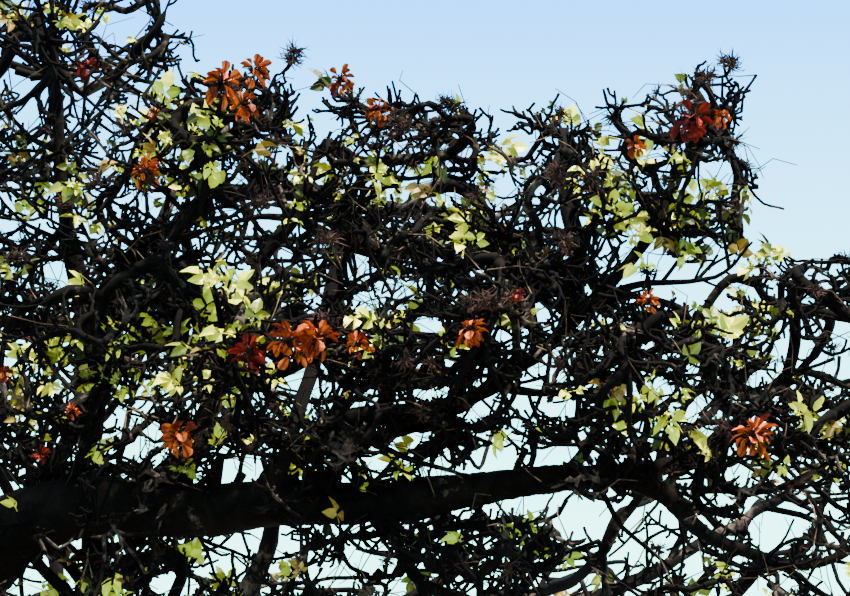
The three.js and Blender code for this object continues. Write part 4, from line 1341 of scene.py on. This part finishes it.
for seat, leafy, front in zip(seats, in_leafy, seat_front):
    near_side = front or not outside_picture(seat.point)
    wanted = LEAF_CHANCE["leafy" if leafy else "bare" if near_side else "back"]
    if chance() > wanted:
        continue
    tint = list(LEAF_TINTS)[min(int(np.searchsorted(tint_ends, chance())), 3)]
    for _ in range((1 if front else 2) + int(3.99 * chance() ** 1.4)):
        aim = unit(0.7 * seat.along + wavering(chance, 0.9) + (0, 0, 0.3))
        top = unit(0.9 * unit(seat.point * (1, 1, 0)) + (0, 0, 1) + wavering(chance, 0.8))
        size = LEAF_SIZE["front" if near_side else "back"] * (0.42 + 1.0 * chance() ** 2)
        leaf_rows[tint].append((seat.point - 0.004 * aim, aim, top, size, int(3.99 * chance())))
for name, (_, gloss, tones) in LEAF_TINTS.items():
    scattered(name, leaf_rows[name], leaf_forms, soft_finish(name, *tones, 0.38, gloss))
forget(leaf_forms)

# The blossom: a head of spoon-shaped petals round a dark heart of cups and threads, at the end of a short
# stalk. It is orange-red, deeper in some heads, and those deep red heads are partly painted shade, as are the
# dark rib and low tone of the orange petals. The hearts are a piece of their own, their darkness partly
# painted shade in the middle of the head.
PETAL = [(0, 0), (0.25, 0.55), (0.62, 1.0), (0.9, 0.75), (1, 0)]
PETAL_LENGTH = 0.046
PETAL_BREADTH = 0.025
PETALS = 34
PETAL_RING = 0.014
HEART_STALKS = 30
BLOOM_FORMS = 5
# Rib, low and high tones. The orange petals' dark rib and low tone are painted shade, the deep red heads are
# partly painted shade, and the hearts' dark tones are partly painted shade.
ORANGE_AND_PAINTED_SHADE_TONES = ((0.10, 0.006, 0.002, 1), (0.07, 0.004, 0.002, 1), (0.75, 0.13, 0.006, 1))
DEEP_RED_PAINTED_SHADE_TONES = ((0.06, 0.003, 0.001, 1), (0.05, 0.002, 0.001, 1), (0.30, 0.014, 0.003, 1))
HEART_AND_PAINTED_SHADE_TONES = ((0.01, 0.003, 0.002, 1), (0.003, 0.0015, 0.001, 1), (0.03, 0.007, 0.004, 1))
bloom_forms = bpy.data.collections.new("bloom_forms")
heart_forms = bpy.data.collections.new("heart_forms")


def leaning(open_by, around):
    """The way of a petal or stalk that leans out from the X axis by one angle, round it by the other."""
    out = math.sin(open_by)
    return np.array((math.cos(open_by), out * math.cos(around), out * math.sin(around)))


def stalk_bunch(draw, count, opening, lengths, knee, wavers, thickness):
    """Thin crooked stalks that stand out from one point."""
    bunch = []
    for k in range(count):
        aim = leaning(opening * math.sqrt((k + 0.5) / count), k * GOLDEN_ANGLE + draw())
        length = lengths[0] + lengths[1] * draw()
        bend = aim * knee * length + wavering(draw, wavers[0])
        bunch.append(thin_stalk([(0, 0, 0), bend, aim * length + wavering(draw, wavers[1])], thickness(k)))
    return bunch


def upright_rows(seats, forms):
    """The rows of a piece whose forms stand at the seats, roughly upright, one of so many forms at each."""
    rows = []
    for place, aim, size in seats:
        top = unit(np.array((0.0, 0.0, 1.0)) + wavering(chance, 0.5))
        rows.append((place, aim, top, size, int((forms - 0.01) * chance())))
    return rows


for index in range(BLOOM_FORMS):
    draw = seeded(300 + index)
    petals = []
    favoured = 2 * math.pi * draw()
    for k in range(PETALS):
        around = k * GOLDEN_ANGLE + 1.2 * draw()
        open_by = 0.5 + 1.9 * math.sqrt((k + 0.5) / PETALS) - 0.5 * draw()
        if draw() > 0.85 + 0.5 * math.cos(around - favoured):
            continue
        length = PETAL_LENGTH * (0.65 + 0.5 * draw())
        part = blade(length, PETAL_BREADTH * (0.8 + 0.5 * draw()), PETAL, 1.6 * draw() - 0.2, 0.5)
        aim = Vector(leaning(open_by, around))
        shift = np.array(aim) * PETAL_RING * (0.7 + 0.8 * draw()) + (0.016 - 0.03 * (k + 0.5) / PETALS, 0, 0)
        petals.append(turned(part, aim.to_track_quat("X", "Z").to_euler(), shift))
    heart = stalk_bunch(draw, HEART_STALKS, 1.5, (0.016, 0.030), 0.5, (0.003, 0.007),
                        lambda k: 0.0038 if k % 3 else 0.0014)
    add_form(bloom_forms, f"bloom_{index + 1}", petals)
    add_form(heart_forms, f"heart_{index + 1}", heart)
bloom_rows = upright_rows(bloom_seats, BLOOM_FORMS)
orange = soft_finish("orange_petals", *ORANGE_AND_PAINTED_SHADE_TONES, 0.55)
red = soft_finish("red_petals", *DEEP_RED_PAINTED_SHADE_TONES, 0.55)
dark = soft_finish("bloom_hearts", *HEART_AND_PAINTED_SHADE_TONES, 0.7)
scattered("orange_blossom", [row for k, row in enumerate(bloom_rows) if k % 4], bloom_forms, orange)
scattered("red_blossom", [row for k, row in enumerate(bloom_rows) if k % 4 == 0], bloom_forms, red)
scattered("bloom_hearts", bloom_rows, heart_forms, dark)
forget(bloom_forms)
forget(heart_forms)

# The dry tufts: old flower heads that have lost their petals, each a bunch of thin crooked stalks standing
# from one point. They are dark brown and brittle.
TUFT_STALKS = 40
TUFT_FORMS = 4
TUFT_TONES = ((0.014, 0.006, 0.004, 1), (0.004, 0.002, 0.0015, 1), (0.045, 0.02, 0.013, 1))
tuft_forms = bpy.data.collections.new("tuft_forms")
for index in range(TUFT_FORMS):
    draw = seeded(400 + index)
    tuft = stalk_bunch(draw, TUFT_STALKS, 1.9, (0.010, 0.024), 0.55, (0.005, 0.010),
                       lambda k: 0.0020 - 0.0008 * draw())
    add_form(tuft_forms, f"tuft_{index + 1}", tuft)
dry = soft_finish("dry_tufts", *TUFT_TONES, 0.8)
scattered("dry_tufts", upright_rows(tuft_seats, TUFT_FORMS), tuft_forms, dry)
forget(tuft_forms)

size = {"cad": [list(corner) for corner in cad_box], "visual": [list(corner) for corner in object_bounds()]}
